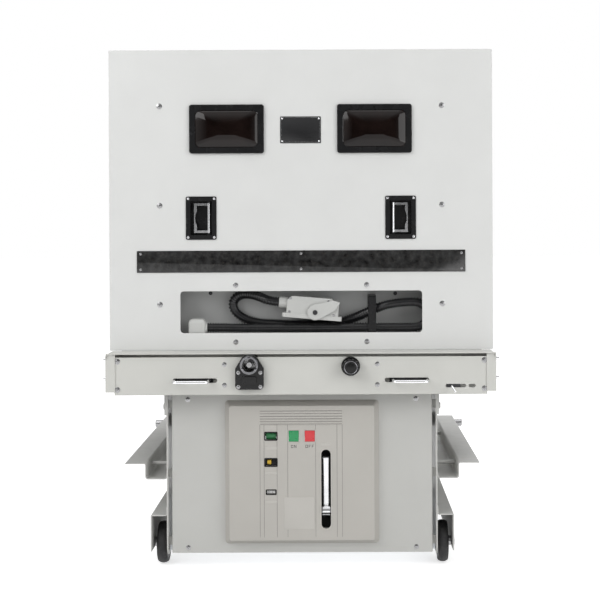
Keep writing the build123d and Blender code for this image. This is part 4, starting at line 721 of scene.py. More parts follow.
# ------------------------------------------------------------------ secondary connector
@dataclass
class SecondaryWiring:
    """Corrugated conduit, its plug's small parts and the tray screws."""

    elbow_x: float = -301.0
    diameter: float = 28.5
    ridge_pitch: float = 7.6
    ridge_depth: float = 3.1
    floor_z: float = 676.0
    floor_gap: float = 1.0
    tray_screws: tuple[tuple[float, float], ...] = ((-270.0, 789.0), (274.0, 786.0))
    panel_y: float = field(init=False)
    low_z: float = field(init=False)

    def __post_init__(self) -> None:
        """Takes the tray's floor from the frame."""
        self.panel_y = corner_of("front_panel")[0].y
        self.low_z = self.floor_z + self.diameter / 2 + self.floor_gap

    def route(self) -> list[Vector]:
        """Returns the conduit's route, from its elbow to the plug's gland."""
        ex, y, low = self.elbow_x, self.panel_y + 30.0, self.low_z
        steps = (
            (ex + 29, y, low + 2), (ex + 70, y, low + 2), (ex + 130, y + 1, low), (ex + 190, y, low + 0.5),
            (ex + 250, y + 1, low - 0.3), (ex + 310, y, low + 0.3), (ex + 370, y + 1, low - 0.2),
            (ex + 430, y, low + 1), (ex + 490, y + 1, low + 1), (ex + 550, y + 1, low),
            (ex + 598, y, low + 0.3), (ex + 643, y, low + 0.5), (ex + 665, y + 1, low + 22),
            (ex + 665, y + 1, low + 53), (ex + 643, y + 2, low + 74.5), (ex + 592, y + 3, low + 73),
            (ex + 540, y + 6, low + 65), (ex + 490, y + 24, low + 42), (ex + 430, y + 47, low + 15),
            (ex + 370, y + 47, low + 6), (ex + 300, y + 47, low + 5), (ex + 230, y + 47, low + 8),
            (ex + 165, y + 47, low + 12), (ex + 124, y + 47, low + 27), (ex + 99, y + 47, low + 52),
            (ex + 100, y + 44, low + 80), (ex + 124, y + 37, low + 97), (ex + 156, y + 25, low + 97),
            (ex + 184, y + 12, low + 88), (ex + 207, y + 4.2, low + 78), (-65.2, y + 4, 766.7))
        return [Vector(step) for step in steps]

    def centre_line(self) -> list[Vector]:
        """Returns even points on the smooth line through the route, in millimetres."""
        curve = bpy.data.curves.new("conduit_route", "CURVE")
        curve.dimensions = "3D"
        curve.resolution_u = 16
        route = self.route()
        spline = curve.splines.new("NURBS")
        spline.points.add(len(route) - 1)
        for point, place in zip(spline.points, route):
            point.co = (*place, 1)
        spline.order_u = 3
        spline.use_endpoint_u = True
        holder = bpy.data.objects.new("conduit_route", curve)
        mesh = bpy.data.meshes.new_from_object(holder)
        line = [v.co.copy() for v in mesh.vertices]
        bpy.data.objects.remove(holder)
        bpy.data.meshes.remove(mesh)
        bpy.data.curves.remove(curve)
        return self.evenly(line, self.ridge_pitch / 4)

    @staticmethod
    def evenly(line: list[Vector], gap: float) -> list[Vector]:
        """Returns points that lie evenly along a line.

        Args:
            line: the line's points.
            gap: distance between the new points.

        Returns:
            The new points, with both ends kept.
        """
        even = [line[0].copy()]
        need = gap
        for first, second in zip(line, line[1:]):
            run = (second - first).length
            done = 0.0
            while run - done >= need:
                done += need
                even.append(first.lerp(second, done / run))
                need = gap
            need -= run - done
        even.append(line[-1].copy())
        return even

    def build(self) -> None:
        """Builds the conduit and the hardware round it."""
        self.build_conduit()
        self.build_plug_hardware()
        self.build_tray_screws()

    def build_conduit(self) -> None:
        line = self.centre_line()
        outer, inner = self.diameter / 2, self.diameter / 2 - self.ridge_depth
        radii = [(outer, outer, inner, inner)[i % 4] for i in range(len(line))]
        shape = Shape()
        shape.tube(line, radii, 14)
        conduit = shape.piece("corrugated_conduit", CONDUIT_POLYMER, Body.TRUCK)
        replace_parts(conduit, "conduit")

    def build_plug_hardware(self) -> None:
        """Adds the gland rings, the hood screws and the lever's pivot of the parked plug."""
        ribs = Shape()
        tilt = Matrix.Rotation(math.radians(5), 4, "Y")
        centre = Matrix.Translation((33.0, self.panel_y + 34.0, 756.0)) @ tilt
        for step in range(4):
            place = centre @ Matrix.Translation((-95.0 + step * 4.6, 0, 2))
            place = place @ Matrix.Rotation(math.pi / 2, 4, "Y")
            ribs.lathe([(15.8, 0), (17.0, 0.8), (17.0, 2.4), (15.8, 3.2)], place, 10)
        ribs.piece("plug_gland_ribs", GREY_MOULDING, Body.TRUCK)
        studs = Shape()
        for x, z in ((-66.0, 17.0), (44.0, 17.0), (-66.0, -22.0), (62.0, -22.0)):
            at = centre @ Vector((x, -22.0, z))
            studs.cross_screw(tuple(at), (0, -1, 0), 2.4, 2.0, x)
        studs.piece("plug_screws", SCREW_STEEL, Body.TRUCK)
        pivot = Shape()
        lever_face = corner_of("plug_lever")[0].y
        at = centre @ Vector((8.0, 0.0, -18.0))
        pivot.lathe([(7.0, 0), (7.0, 1.6), (5.6, 2.2), (4.2, 2.2), (4.0, 0.6), (0, 0.6)],
                    facing((at.x, lever_face, at.z), (0, -1, 0)), 24)
        pivot.piece("plug_lever_pivot", BLACK_STEEL, Body.PLUG_LEVER)

    def build_tray_screws(self) -> None:
        """Adds the two black screws on the tray's back wall."""
        back = corner_of("connector_tray")[1].y - 2.0
        shape = Shape()
        for x, z in self.tray_screws:
            shape.cross_screw((x, back, z), (0, -1, 0), 3.8, 3.0, x)
        shape.piece("tray_screws", BLACK_STEEL, Body.TRUCK)


# ------------------------------------------------------------------ crossbeam
@dataclass
class Crossbeam:
    """Screws of the front plate and the bright trim of the crank port."""

    corner_x: float = 517.0
    corner_z: tuple[float, ...] = (607.0, 527.0)
    bolt_x: float = 215.5
    bolt_z: tuple[float, ...] = (597.0, 539.0)
    hub_x: float = -144.0
    hub_z: float = 598.0
    hub_depth: float = 18.0
    knob_x: float = 140.0
    knob_z: float = 592.0
    front: Point = (0.0, -1.0, 0.0)

    def build(self) -> None:
        """Builds the beam's hardware."""
        face = corner_of("crossbeam_front_plate")[0].y
        shape = Shape()
        turn = 0.4
        for side in (-1, 1):
            for z in self.corner_z:
                shape.cross_screw((side * self.corner_x, face, z), self.front, 5.4, 3.6, turn)
                turn += 0.8
            for z in self.bolt_z:
                shape.cross_screw((side * self.bolt_x, face, z), self.front, 4.6, 3.2, turn)
                turn += 0.8
        shape.piece("beam_plate_screws", SCREW_STEEL, Body.CROSSBEAM)
        self.build_port()
        self.build_knob_trim()

    def build_port(self) -> None:
        """Adds the port's guide ring, its three cleats and the casting's screws."""
        face = corner_of("crank_hub")[0].y
        place = facing((self.hub_x, face, self.hub_z), self.front)
        ring = Shape()
        ring.lathe([(19.3, -0.4), (19.3, 0.2), (20.2, 1.0), (24.2, 1.0), (25.2, 0.2), (25.2, -0.4),
                    (19.3, -0.4)], place, 48)
        for k in range(3):
            spin = place @ Matrix.Rotation(math.radians(90 + k * 120), 4, "Z")
            spin = spin @ Matrix.Translation((21.4, 0, 0.6))
            ring.pad(6.0, 9.0, 1.5, 1.8, 0.5, spin)
        ring.piece("crank_port_ring", DARK_CHROME, Body.CROSSBEAM)
        screws = Shape()
        plate = corner_of("crossbeam_front_plate")[0].y - self.hub_depth
        for dx, dz in ((-31, -22), (31, -22), (-31, -62), (31, -62)):
            screws.cross_screw((self.hub_x + dx, plate, self.hub_z + dz), self.front, 3.6, 2.6, dx * 0.1)
        screws.piece("crank_port_screws", SCREW_STEEL, Body.CROSSBEAM)

    def build_knob_trim(self) -> None:
        """Adds the knob's dark cap, its pointer and its trim ring."""
        place = facing((self.knob_x, corner_of("selector_knob")[0].y, self.knob_z), self.front)
        shape = Shape()
        shape.lathe([(13.0, -0.4), (13.0, 0.0), (12.2, 0.3), (0, 0.5)], place, 40)
        trim = Shape()
        trim.lathe([(17.0, -0.4), (17.0, 0.5), (17.6, 0.8), (18.4, 0.5), (18.4, -0.4), (17.0, -0.4)],
                   place, 48)
        trim.piece("knob_trim_ring", DARK_CHROME, Body.KNOB)
        shape.pad(2.0, 9.0, 0.8, 0.9, 0.2, place @ Matrix.Translation((0, 8.0, 0)))
        shape.piece("knob_cap", DARK_MOULDING, Body.KNOB)


@dataclass
class LeadScrew:
    """Lead screw with its trapezoidal thread, collar, crank end and cross pin."""

    x: float = -144.0
    z: float = 598.0
    root: float = 10.2
    crest: float = 12.0
    pitch: float = 5.0
    segments: int = 24

    def build(self) -> None:
        """Builds the screw in place of its plain bar."""
        low, high = corner_of("lead_screw")
        beam_rear = corner_of("crossbeam_channel")[1].y
        axis = facing((self.x, high.y, self.z), (0, -1, 0))
        shape = Shape()
        thread_start, thread_end = 4.0, high.y - beam_rear - 4.0
        self.add_thread(shape, axis, thread_start, thread_end)
        full = high.y - low.y
        collar = high.y - beam_rear + 22.5
        shape.lathe([(0, 0), (self.root - 1.5, 0), (self.root, 2), (self.root, 4)], axis, self.segments)
        shape.lathe([(self.root, thread_end), (self.root, collar), (17.5, collar), (17.5, collar + 11.5),
                     (10.0, collar + 11.5), (10.0, full - 20), (9.0, full - 20), (9.0, full - 1.5),
                     (7.5, full), (0, full)], axis, 36)
        pin = facing((self.x - 14.0, low.y + 24.0, self.z), (1, 0, 0))
        shape.lathe([(2.0, 0), (2.5, 0.5), (2.5, 27.5), (2.0, 28)], pin, 16)
        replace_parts(shape.piece("threaded_lead_screw", SCREW_STEEL, Body.LEAD_SCREW), "lead_screw")

    def add_thread(self, shape: Shape, axis: Matrix, start: float, end: float) -> None:
        """Adds the threaded length as one helical skin.

        Args:
            shape: mesh that takes the thread.
            axis: place whose z axis is the screw's.
            start: first level along the axis.
            end: last level.
        """
        rows = []
        count = int((end - start) / self.pitch * 8)
        for i in range(count + 1):
            level = start + (end - start) * i / count
            row = []
            for k in range(self.segments):
                phase = (level / self.pitch + k / self.segments) % 1.0
                lift = min(max((abs(phase - 0.5) - 0.12) * 5.0, 0.0), 1.0)
                radius = self.root + (self.crest - self.root) * (1 - lift)
                angle = math.tau * k / self.segments
                row.append(axis @ Vector((radius * math.cos(angle), radius * math.sin(angle), level)))
            rows.append(row)
        shape.loft(rows)


# ------------------------------------------------------------------ mechanism box
@dataclass
class MechanismFront:
    """Indicators, marks, frames and screws on the front of the mechanism box."""

    flag_x: float = -88.0
    flag_z: float = 386.0
    charge_z: float = 311.0
    counter_z: float = 226.0
    button_x: float = 23.0
    word_z: float = 356.5
    slot_x: float = 69.0
    slot_low: float = 121.0
    slot_high: float = 347.0
    slot_width: float = 27.0
    box_half: float = 389.0
    shaft_y: float = -194.0
    shaft_z: float = 400.0
    bolt_circle: float = 37.0
    front: Point = (0.0, -1.0, 0.0)
    y: float = field(init=False)

    def __post_init__(self) -> None:
        """Takes the fascia's front face from the frame."""
        self.y = corner_of("mechanism_fascia")[0].y

    def at(self, x: float, z: float, proud: float = 0.0) -> Matrix:
        """Returns the place of a piece on the fascia.

        Args:
            x: place across the fascia.
            z: height above the floor.
            proud: distance that the place stands in front of the fascia's face.

        Returns:
            The matrix from the piece's axes to the breaker's.
        """
        return facing((x, self.y - proud, z), self.front)

    def build(self) -> None:
        """Builds the front's pieces."""
        self.build_frames()
        self.build_indicators()
        self.build_words()
        self.build_strips()
        self.build_screws()

    def build_frames(self) -> None:
        """Adds the raised rims of the windows, buttons and lever slot, and a black plate of painted shade
        behind the slot.
        """
        shape = Shape()
        for z in (self.flag_z, self.charge_z):
            shape.frame_pad((38.0, 25.5, 3.0), (31.6, 19.0, 2.0), 1.2, self.at(self.flag_x, z, -0.1))
        shape.frame_pad((31.0, 16.0, 2.5), (25.6, 10.6, 1.5), 1.0, self.at(self.flag_x, self.counter_z, -0.1))
        shape.piece("indicator_rims", DARK_MOULDING, Body.TRUCK)
        # The button and slot rims take the lighter copy of the moulding: painted light.
        trim = Shape()
        for side in (-1, 1):
            trim.frame_pad((34.5, 37.0, 2.5), (29.6, 32.1, 1.5), 0.9,
                           self.at(side * self.button_x, self.flag_z, -0.1))
        length = self.slot_high - self.slot_low
        middle = (self.slot_high + self.slot_low) / 2
        trim.frame_pad((self.slot_width + 8, length + 8, self.slot_width / 2 + 3.9),
                       (self.slot_width + 0.2, length + 0.2, self.slot_width / 2), 1.1,
                       self.at(self.slot_x, middle, -0.1))
        trim.piece("button_and_slot_trim", FASCIA_PAINTED_LIGHT, Body.TRUCK)
        # A black plate behind the charging slot paints the shade inside it.
        slot_shade = Shape()
        slot_shade.pad(48.0, 262.0, 2.0, 1.4, 0.3, self.at(self.slot_x + 2.0, 232.0, -83.4))
        slot_shade.piece("charging_slot_shade_plate", BLACK_STEEL, Body.TRUCK)

    def build_indicators(self) -> None:
        """Adds the charge flag, the counter's wheels and the clear windows' back plates."""
        back = Shape()
        back.pad(44.0, 34.0, 2.0, 1.5, 0.3, self.at(self.flag_x, self.charge_z, -9.0))
        back.pad(36.0, 22.0, 2.0, 1.5, 0.3, self.at(self.flag_x, self.counter_z, -8.0))
        back.piece("indicator_back_plates", DARK_MOULDING, Body.TRUCK)
        charge = Shape()
        place = self.at(self.flag_x - 5.0, self.charge_z, -7.6) @ Matrix.Rotation(math.pi / 2, 4, "Y")
        charge.lathe([(0.1, -5.5), (6.5, -5.5), (7.0, -5), (7.0, 5), (6.5, 5.5), (0.1, 5.5)], place, 32)
        charge.piece("charge_flag", FLAG_YELLOW, Body.TRUCK)
        wheels = Shape()
        for k in range(5):
            spot = self.at(self.flag_x - 9.6 + 4.8 * k, self.counter_z, -6.6)
            wheels.lathe([(0.1, -2.1), (4.7, -2.1), (5.0, -1.8), (5.0, 1.8), (4.7, 2.1), (0.1, 2.1)],
                         spot @ Matrix.Rotation(math.pi / 2, 4, "Y"), 28)
        wheels.piece("counter_wheels", INK_WHITE, Body.TRUCK)
        digits = Shape()
        for k, digit in enumerate("00127"):
            self.add_digit(digits, digit, self.at(self.flag_x - 9.6 + 4.8 * k, self.counter_z, -1.7))
        digits.piece("counter_digits", PLATE_INK, Body.TRUCK)

    @staticmethod
    def add_digit(shape: Shape, digit: str, place: Matrix) -> None:
        """Adds a small seven-stroke digit.

        Args:
            shape: mesh that takes the strokes.
            digit: one decimal digit.
            place: middle of the digit, its z axis outward.
        """
        strokes = {"0": "abcdef", "1": "bc", "2": "abged", "7": "abc"}
        spots = {"a": (0, 2.2, 0), "b": (1.2, 1.1, 1), "c": (1.2, -1.1, 1), "d": (0, -2.2, 0),
                 "e": (-1.2, -1.1, 1), "f": (-1.2, 1.1, 1), "g": (0, 0, 0)}
        for stroke in strokes[digit]:
            x, y, upright = spots[stroke]
            width, height = (0.5, 2.2) if upright else (2.2, 0.5)
            shape.pad(width, height, 0.2, 0.12, 0.03, place @ Matrix.Translation((x, y, 0)))

    def build_words(self) -> None:
        """Adds the plain words under the two buttons."""
        marks = Shape()
        letter_step = 9.0
        larger = Matrix.Diagonal((1.35, 1.35, 1.0, 1.0))
        for centre, word in ((-self.button_x, "ON"), (self.button_x, "OFF")):
            for k, letter in enumerate(word):
                x = centre + (k - (len(word) - 1) / 2) * letter_step
                self.add_letter(marks, letter, self.at(x, self.word_z, 0.42) @ larger)
        marks.piece("button_words", PLATE_INK, Body.TRUCK)

    @staticmethod
    def add_letter(shape: Shape, letter: str, place: Matrix) -> None:
        """Adds one small block letter.

        Args:
            shape: mesh that takes the strokes.
            letter: O, N or F.
            place: middle of the letter, its z axis outward.
        """
        left, right = (-1.9, 0, 0.9, 6.2, 0), (1.9, 0, 0.9, 6.2, 0)
        top, bottom = (0, 2.7, 3.8, 0.9, 0), (0, -2.7, 3.8, 0.9, 0)
        strokes = {"O": (left, right, top, bottom), "N": (left, right, (0, 0, 0.9, 6.6, 32)),
                   "F": (left, top, (-0.4, 0.1, 3.0, 0.9, 0))}
        for x, y, width, height, lean in strokes[letter]:
            spin = Matrix.Translation((x, y, 0)) @ Matrix.Rotation(math.radians(lean), 4, "Z")
            shape.pad(width, height, 0.3, 0.14, 0.04, place @ spin)

    def build_strips(self) -> None:
        """Adds the shallow raised fields of the fascia in its lighter copy, painted light, and thin dark
        strips of painted shade that stand for its grooves.
        """
        # The fields take the lighter copy of the moulding: painted light.
        fields = Shape()
        for x, z, width, height in ((self.flag_x, 352.0, 34.0, 9.0), (self.flag_x, 281.0, 34.0, 8.0),
                                    (-23.0, 356.0, 26.0, 10.0), (23.0, 356.0, 26.0, 10.0),
                                    (self.slot_x, 362.0, 30.0, 8.0), (self.flag_x, 198.0, 34.0, 8.0)):
            fields.pad(width, height, 1.5, 0.5, 0.2, self.at(x, z, -0.05))
        fields.pad(86.0, 92.0, 2.0, 0.6, 0.25, self.at(-8.0, 165.0, -0.05))
        fields.piece("blank_label_fields", FASCIA_PAINTED_LIGHT, Body.TRUCK)
        # Thin dark strips stand for the grooves: painted shade, not cut grooves.
        groove_shade_lines = Shape()
        for x in (-119.5, -107.8, -70.8, -40.3, 39.6, 100.6, 115.6):
            groove_shade_lines.pad(1.1, 322.0, 0.4, 0.3, 0.1, self.at(x, 258.0, -0.05))
        for row in range(6):
            groove_shade_lines.pad(235.0, 1.5, 0.4, 0.3, 0.1, self.at(-2.0, 420.5 + 7.4 * row, -0.05))
        groove_shade_lines.piece("fascia_rib_shade_lines", FASCIA_SHADE, Body.TRUCK)

    def build_screws(self) -> None:
        """Adds the box front's screws, the bearing flanges and their bolts on the side plates."""
        plate = corner_of("box_front_plate")[0].y
        shape = Shape()
        for side in (-1, 1):
            for z in (62.0, 488.0):
                shape.cross_screw((side * 328.0, plate, z), self.front, 4.8, 3.2, side + z)
        shape.piece("box_front_screws", SCREW_STEEL, Body.TRUCK)
        flanges = Shape()
        for side in (-1, 1):
            outside = self.box_half * side
            place = facing((outside, self.shaft_y, self.shaft_z), (side, 0, 0))
            flanges.lathe([(21.5, 0.1), (46, 0.1), (46, 4), (44, 5.5), (30, 5.5), (28, 8), (0, 8)], place, 40)
            for k in range(4):
                angle = math.radians(45 + 90 * k)
                at = (outside + 5.3 * side, self.shaft_y + self.bolt_circle * math.cos(angle),
                      self.shaft_z + self.bolt_circle * math.sin(angle))
                flanges.hex_bolt(at, (side, 0, 0), 8.0, 4.0, k)
        flanges.piece("shaft_bearing_flanges", BLACK_STEEL, Body.TRUCK)


@dataclass
class Wheels:
    """Four wheels: turned iron centres with ribbed discs and crowned tyres."""

    radius: float = 60.0
    width: float = 32.0
    bore: float = 10.2
    spokes: int = 6

    def build(self) -> None:
        """Builds all four wheels on their own bodies."""
        for end in ("front", "rear"):
            for word in ("left", "right"):
                self.build_wheel(f"wheel_{end}_{word}")

    def build_wheel(self, node: str) -> None:
        """Builds one wheel in place of its plain solid.

        Args:
            node: CAD node, whose name is also its body's.
        """
        low, high = corner_of(node)
        centre = (low + high) / 2
        place = facing(tuple(centre), (1, 0, 0))
        half, rim = self.width / 2, self.radius - 15.0
        hub = Shape()
        hub.lathe([(self.bore, -half), (19, -half), (20, -half + 1), (22, -half + 8), (rim - 9, -half + 10),
                   (rim - 6, -half + 3), (rim - 5, -half + 2), (rim + 0.5, -half + 2), (rim + 0.5, half - 2),
                   (rim - 5, half - 2), (rim - 6, half - 3), (rim - 9, half - 10), (22, half - 8),
                   (20, half - 1), (19, half), (self.bore, half), (self.bore, -half)], place, 48)
        for side in (-1, 1):
            for k in range(self.spokes):
                spin = place @ Matrix.Rotation(math.tau * k / self.spokes, 4, "Z")
                spot = spin @ Matrix.Translation((28.5, 0, side * (half - 8.5)))
                if side < 0:
                    spot = spot @ Matrix.Rotation(math.pi, 4, "X")
                hub.pad(18.0, 5.0, 1.5, 3.6, 1.0, spot)
        centre_piece = self.finish(hub, f"{node}_centre", WHEEL_IRON, node)
        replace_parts(centre_piece, node)
        tyre = Shape()
        profile = [(rim + 0.2, -half + 3), (self.radius - 8, -half + 1), (self.radius - 5, -half + 1.5)]
        for step in range(-5, 6):
            profile.append((self.radius - 3.4 * (step / 6) ** 2, step / 6 * (half - 3)))
        profile += [(self.radius - 5, half - 1.5), (self.radius - 8, half - 1), (rim + 0.2, half - 3)]
        tyre.lathe(profile, place, 64)
        self.finish(tyre, f"{node}_tyre", TYRE, node)

    @staticmethod
    def finish(shape: Shape, name: str, finish: Finish, node: str) -> bpy.types.Object:
        """Makes a wheel's piece and hands it to the wheel's own body.

        Args:
            shape: mesh of the piece.
            name: its name.
            finish: its finish.
            node: name of the wheel's node and body.

        Returns:
            The new object.
        """
        made = shape.piece(name, finish, Body.TRUCK)
        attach(made, node)
        return made


# ------------------------------------------------------------------ poles
@dataclass
class Poles:
    """Foot bolts and garter springs of the three poles."""

    pitch: float = 300.0
    axis_y: float = -134.0
    foot_z: float = 642.0
    foot_radius: float = 109.0
    arm_levels: tuple[float, float] = (884.0, 1330.0)
    spring_radius: float = 37.7
    coil_radius: float = 3.3
    wire: float = 0.9

    def build(self) -> None:
        """Builds the poles' hardware."""
        bolts = Shape()
        for pole in (-1, 0, 1):
            for k in range(8):
                angle = math.radians(22.5 + 45 * k)
                at = (pole * self.pitch + self.foot_radius * math.cos(angle),
                      self.axis_y + self.foot_radius * math.sin(angle), self.foot_z)
                bolts.hex_bolt(at, (0, 0, 1), 10.0, 5.0, k * 0.4)
        bolts.piece("pole_foot_bolts", SCREW_STEEL, Body.TRUCK)
        springs = Shape()
        start = corner_of("tulip_contacts")[0].y
        for pole in (-1, 0, 1):
            for level in self.arm_levels:
                for offset in (34.0, 50.0):
                    self.add_garter(springs, Vector((pole * self.pitch, start + offset, level)))
        springs.piece("tulip_garter_springs", SPRING_STEEL, Body.TRUCK)

    def add_garter(self, shape: Shape, centre: Vector) -> None:
        """Adds one closed coil round a tulip.

        Args:
            shape: mesh that takes the coil.
            centre: middle of the ring; its axis runs front to back.
        """
        turns, per_turn = 56, 6
        path = []
        for i in range(turns * per_turn + 1):
            around = math.tau * i / (turns * per_turn)
            twist = math.tau * i / per_turn
            radius = self.spring_radius + self.coil_radius * math.cos(twist)
            path.append(centre + Vector((radius * math.cos(around), self.coil_radius * math.sin(twist),
                                         radius * math.sin(around))))
        shape.tube(path, [self.wire] * len(path), 4)


@dataclass
class TruckHardware:
    """Bolts that tie the chassis, rails and housings together."""

    deck_bolt_x: float = 495.0
    housing_face_x: float = 392.0
    housing_bolt_z: float = 170.0

    def build(self) -> None:
        """Builds the truck's fasteners."""
        shape = Shape()
        low, high = corner_of("chassis_frame")
        deck = corner_of("deck_plate")[1].z
        for side in (-1, 1):
            for y in (low.y + 60, (low.y + high.y) / 2, high.y - 60):
                shape.hex_bolt((side * self.deck_bolt_x, y, deck), (0, 0, 1), 10.0, 4.5, y)
            for y in (low.y + 40, low.y + 240, high.y - 240, high.y - 40):
                shape.hex_bolt((side * high.x, y, (low.z + high.z) / 2), (side, 0, 0), 13.0, 6.0, y)
        house_low, house_high = corner_of("wheel_housings")
        for side in (-1, 1):
            for y in (house_low.y + 120, (house_low.y + house_high.y) / 2, house_high.y - 120):
                at = (side * self.housing_face_x, y, self.housing_bolt_z)
                shape.hex_bolt(at, (side, 0, 0), 8.0, 4.0, y)
        shape.piece("chassis_bolts", SCREW_STEEL, Body.TRUCK)


# ------------------------------------------------------------------ studio
@dataclass
class Studio:
    """Camera, plain floor and soft lamps."""

    camera_place: Point = (0.105, -3.966, 1.0)
    focal: float = 74.7
    shift: tuple[float, float] = (-0.0625, -0.1317)
    roll: float = math.radians(0.26)
    world: float = 0.62

    def build(self) -> None:
        """Builds the whole studio."""
        self.build_camera()
        self.build_floor()
        self.build_world()
        for name, place, aim, size, power in (
                ("key", (-2.4, -2.9, 2.7), (-0.3, 0, 0.95), 2.2, 60.0),
                ("fill", (2.9, -3.0, 1.7), (0.1, 0, 0.7), 2.4, 50.0),
                ("back", (0.6, 3.4, 2.8), (0, 0, 0.9), 2.4, 40.0),
                ("overhead", (0, -0.4, 4.2), (0, 0, 0.5), 3.0, 34.0)):
            self.build_lamp(name, Vector(place), Vector(aim), size, power)

    def build_camera(self) -> None:
        """Adds the camera, square to the panel and framed by its shift."""
        data = bpy.data.cameras.new("camera")
        data.lens = self.focal
        data.sensor_width = 36.0
        data.shift_x, data.shift_y = self.shift
        data.clip_end = 60.0
        made = bpy.data.objects.new("camera", data)
        made.location = self.camera_place
        made.rotation_euler = (math.pi / 2, self.roll, 0)
        bpy.context.scene.collection.objects.link(made)
        bpy.context.scene.camera = made

    def build_lamp(self, name: str, place: Vector, aim: Vector, size: float, power: float) -> None:
        """Adds one soft area lamp.

        Args:
            name: the lamp's name.
            place: where it hangs.
            aim: point that it faces.
            size: side of its square.
            power: its power in watts.
        """
        data = bpy.data.lights.new(name, "AREA")
        data.size = size
        data.energy = power
        made = bpy.data.objects.new(name, data)
        made.location = place
        made.rotation_euler = (aim - place).to_track_quat("-Z", "Y").to_euler()
        bpy.context.scene.collection.objects.link(made)

    @staticmethod
    def seen_directly(tree: bpy.types.NodeTree) -> bpy.types.NodeSocket:
        """Returns a socket that is one for camera, glossy and transmission rays.

        Args:
            tree: tree to add to.

        Returns:
            The socket.
        """
        rays = tree.nodes.new("ShaderNodeLightPath")
        total = None
        for name in ("Is Camera Ray", "Is Glossy Ray", "Is Transmission Ray"):
            if total is None:
                total = rays.outputs[name]
                continue
            both = tree.nodes.new("ShaderNodeMath")
            both.operation = "MAXIMUM"
            tree.links.new(total, both.inputs[0])
            tree.links.new(rays.outputs[name], both.inputs[1])
            total = both.outputs[0]
        return total

    def build_floor(self) -> None:
        """Adds the pale floor, which keeps the breaker's shadow."""
        mesh = bpy.data.meshes.new("studio_floor")
        reach = 30.0
        mesh.from_pydata([(-reach, -reach, 0), (reach, -reach, 0), (reach, reach, 0), (-reach, reach, 0)], [],
                         [(0, 1, 2, 3)])
        floor = bpy.data.objects.new("studio_floor", mesh)
        floor.location.z = -0.0005
        bpy.context.scene.collection.objects.link(floor)
        paint = bpy.data.materials.new("studio_floor_paint")
        paint.use_nodes = True
        tree = paint.node_tree
        tree.nodes.clear()
        output = tree.nodes.new("ShaderNodeOutputMaterial")
        diffuse = tree.nodes.new("ShaderNodeBsdfDiffuse")
        diffuse.inputs["Color"].default_value = (0.75, 0.75, 0.75, 1)
        glow = tree.nodes.new("ShaderNodeEmission")
        glow.inputs["Color"].default_value = (1, 1, 1, 1)
        scale = tree.nodes.new("ShaderNodeMath")
        scale.operation = "MULTIPLY"
        scale.inputs[1].default_value = 0.62
        tree.links.new(self.seen_directly(tree), scale.inputs[0])
        tree.links.new(scale.outputs[0], glow.inputs["Strength"])
        both = tree.nodes.new("ShaderNodeAddShader")
        tree.links.new(diffuse.outputs[0], both.inputs[0])
        tree.links.new(glow.outputs[0], both.inputs[1])
        tree.links.new(both.outputs[0], output.inputs["Surface"])
        mesh.materials.append(paint)

    @staticmethod
    def room(tree: bpy.types.NodeTree) -> bpy.types.NodeSocket:
        """Returns what mirrors see: a dim wall under a bright ceiling, with a tall window to each side.

        Args:
            tree: the world's node tree.

        Returns:
            The socket that carries the brightness.
        """
        coordinates = tree.nodes.new("ShaderNodeTexCoord")
        split = tree.nodes.new("ShaderNodeSeparateXYZ")
        tree.links.new(coordinates.outputs["Generated"], split.inputs["Vector"])
        height = tree.nodes.new("ShaderNodeValToRGB")
        for place, grey in ((0.50, 0.02), (0.58, 0.03), (0.66, 0.25), (0.85, 1.0)):
            stop = height.color_ramp.elements.new(place)
            stop.color = (grey, grey, grey, 1)
        height.color_ramp.elements[0].color = (0.05, 0.05, 0.05, 1)
        height.color_ramp.elements[-1].color = (1, 1, 1, 1)
        half = tree.nodes.new("ShaderNodeMapRange")
        half.inputs["From Min"].default_value = -1.0
        tree.links.new(split.outputs["Z"], half.inputs["Value"])
        tree.links.new(half.outputs["Result"], height.inputs["Fac"])
        sides = tree.nodes.new("ShaderNodeValToRGB")
        for place, grey in ((0.10, 0.9), (0.22, 0.5), (0.34, 0.0), (0.66, 0.0), (0.80, 0.45), (0.90, 0.7)):
            stop = sides.color_ramp.elements.new(place)
            stop.color = (grey, grey, grey, 1)
        sides.color_ramp.elements[0].color = (0.9, 0.9, 0.9, 1)
        sides.color_ramp.elements[-1].color = (0.7, 0.7, 0.7, 1)
        across = tree.nodes.new("ShaderNodeMapRange")
        across.inputs["From Min"].default_value = -1.0
        tree.links.new(split.outputs["X"], across.inputs["Value"])
        tree.links.new(across.outputs["Result"], sides.inputs["Fac"])
        lighter = tree.nodes.new("ShaderNodeMath")
        lighter.operation = "MAXIMUM"
        tree.links.new(height.outputs["Color"], lighter.inputs[0])
        tree.links.new(sides.outputs["Color"], lighter.inputs[1])
        return lighter.outputs[0]

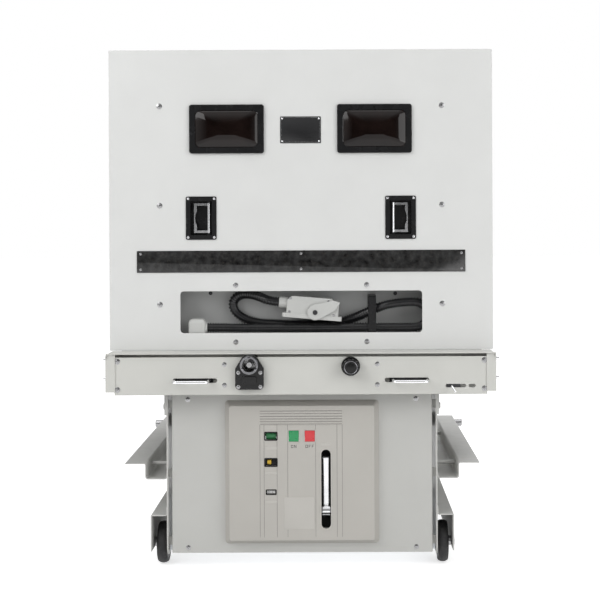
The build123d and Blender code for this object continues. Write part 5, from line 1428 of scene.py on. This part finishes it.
    def build_world(self) -> None:
        """Adds the white surroundings."""
        world = bpy.data.worlds.new("studio_world")
        bpy.context.scene.world = world
        world.use_nodes = True
        tree = world.node_tree
        background = tree.nodes["Background"]
        background.inputs["Color"].default_value = (1, 1, 1, 1)
        rays = tree.nodes.new("ShaderNodeLightPath")
        seen = tree.nodes.new("ShaderNodeMix")
        seen.inputs["A"].default_value = self.world
        seen.inputs["B"].default_value = 1.0
        tree.links.new(rays.outputs["Is Camera Ray"], seen.inputs["Factor"])
        mirrored = tree.nodes.new("ShaderNodeMix")
        tree.links.new(rays.outputs["Is Glossy Ray"], mirrored.inputs["Factor"])
        tree.links.new(seen.outputs["Result"], mirrored.inputs["A"])
        tree.links.new(self.room(tree), mirrored.inputs["B"])
        tree.links.new(mirrored.outputs["Result"], background.inputs["Strength"])
        bpy.context.scene.view_settings.view_transform = "Standard"


def dress_nodes() -> None:
    """Gives every CAD node its finish, and black steel to the faces of the beam's slides that lie inside the
    beam, as painted shade.
    """
    for name, finish in NODE_FINISHES.items():
        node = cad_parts[name]
        node.data.materials.clear()
        node.data.materials.append(finish.material())
        log.info("node %s takes %s", name, finish.name)
    # The slides' faces behind the front plate, between the bolt ends, take black steel: painted shade inside
    # the beam.
    plate = corner_of("crossbeam_front_plate")[0].y * MM
    bolt_ends = 0.53
    for name in ("lock_slide_left", "lock_slide_right", "interlock_lever"):
        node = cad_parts[name]
        node.data.materials.append(BLACK_STEEL.material())
        for face in node.data.polygons:
            middle = node.matrix_world @ face.center
            inside = plate < middle.y and abs(middle.x) < bolt_ends
            face.material_index = int(inside)


def main() -> None:
    """Builds the studio, dresses the CAD nodes and adds every piece."""
    logging.basicConfig(level=logging.INFO, format="%(name)s: %(message)s")
    Studio().build()
    dress_nodes()
    for assembly in (SecondaryWiring(), FrontPanel(), InspectionWindows(), Crossbeam(), LeadScrew(),
                     MechanismFront(), Wheels(), Poles(), TruckHardware()):
        assembly.build()
        log.info("%s built", type(assembly).__name__)


if __name__ == "__main__":
    main()
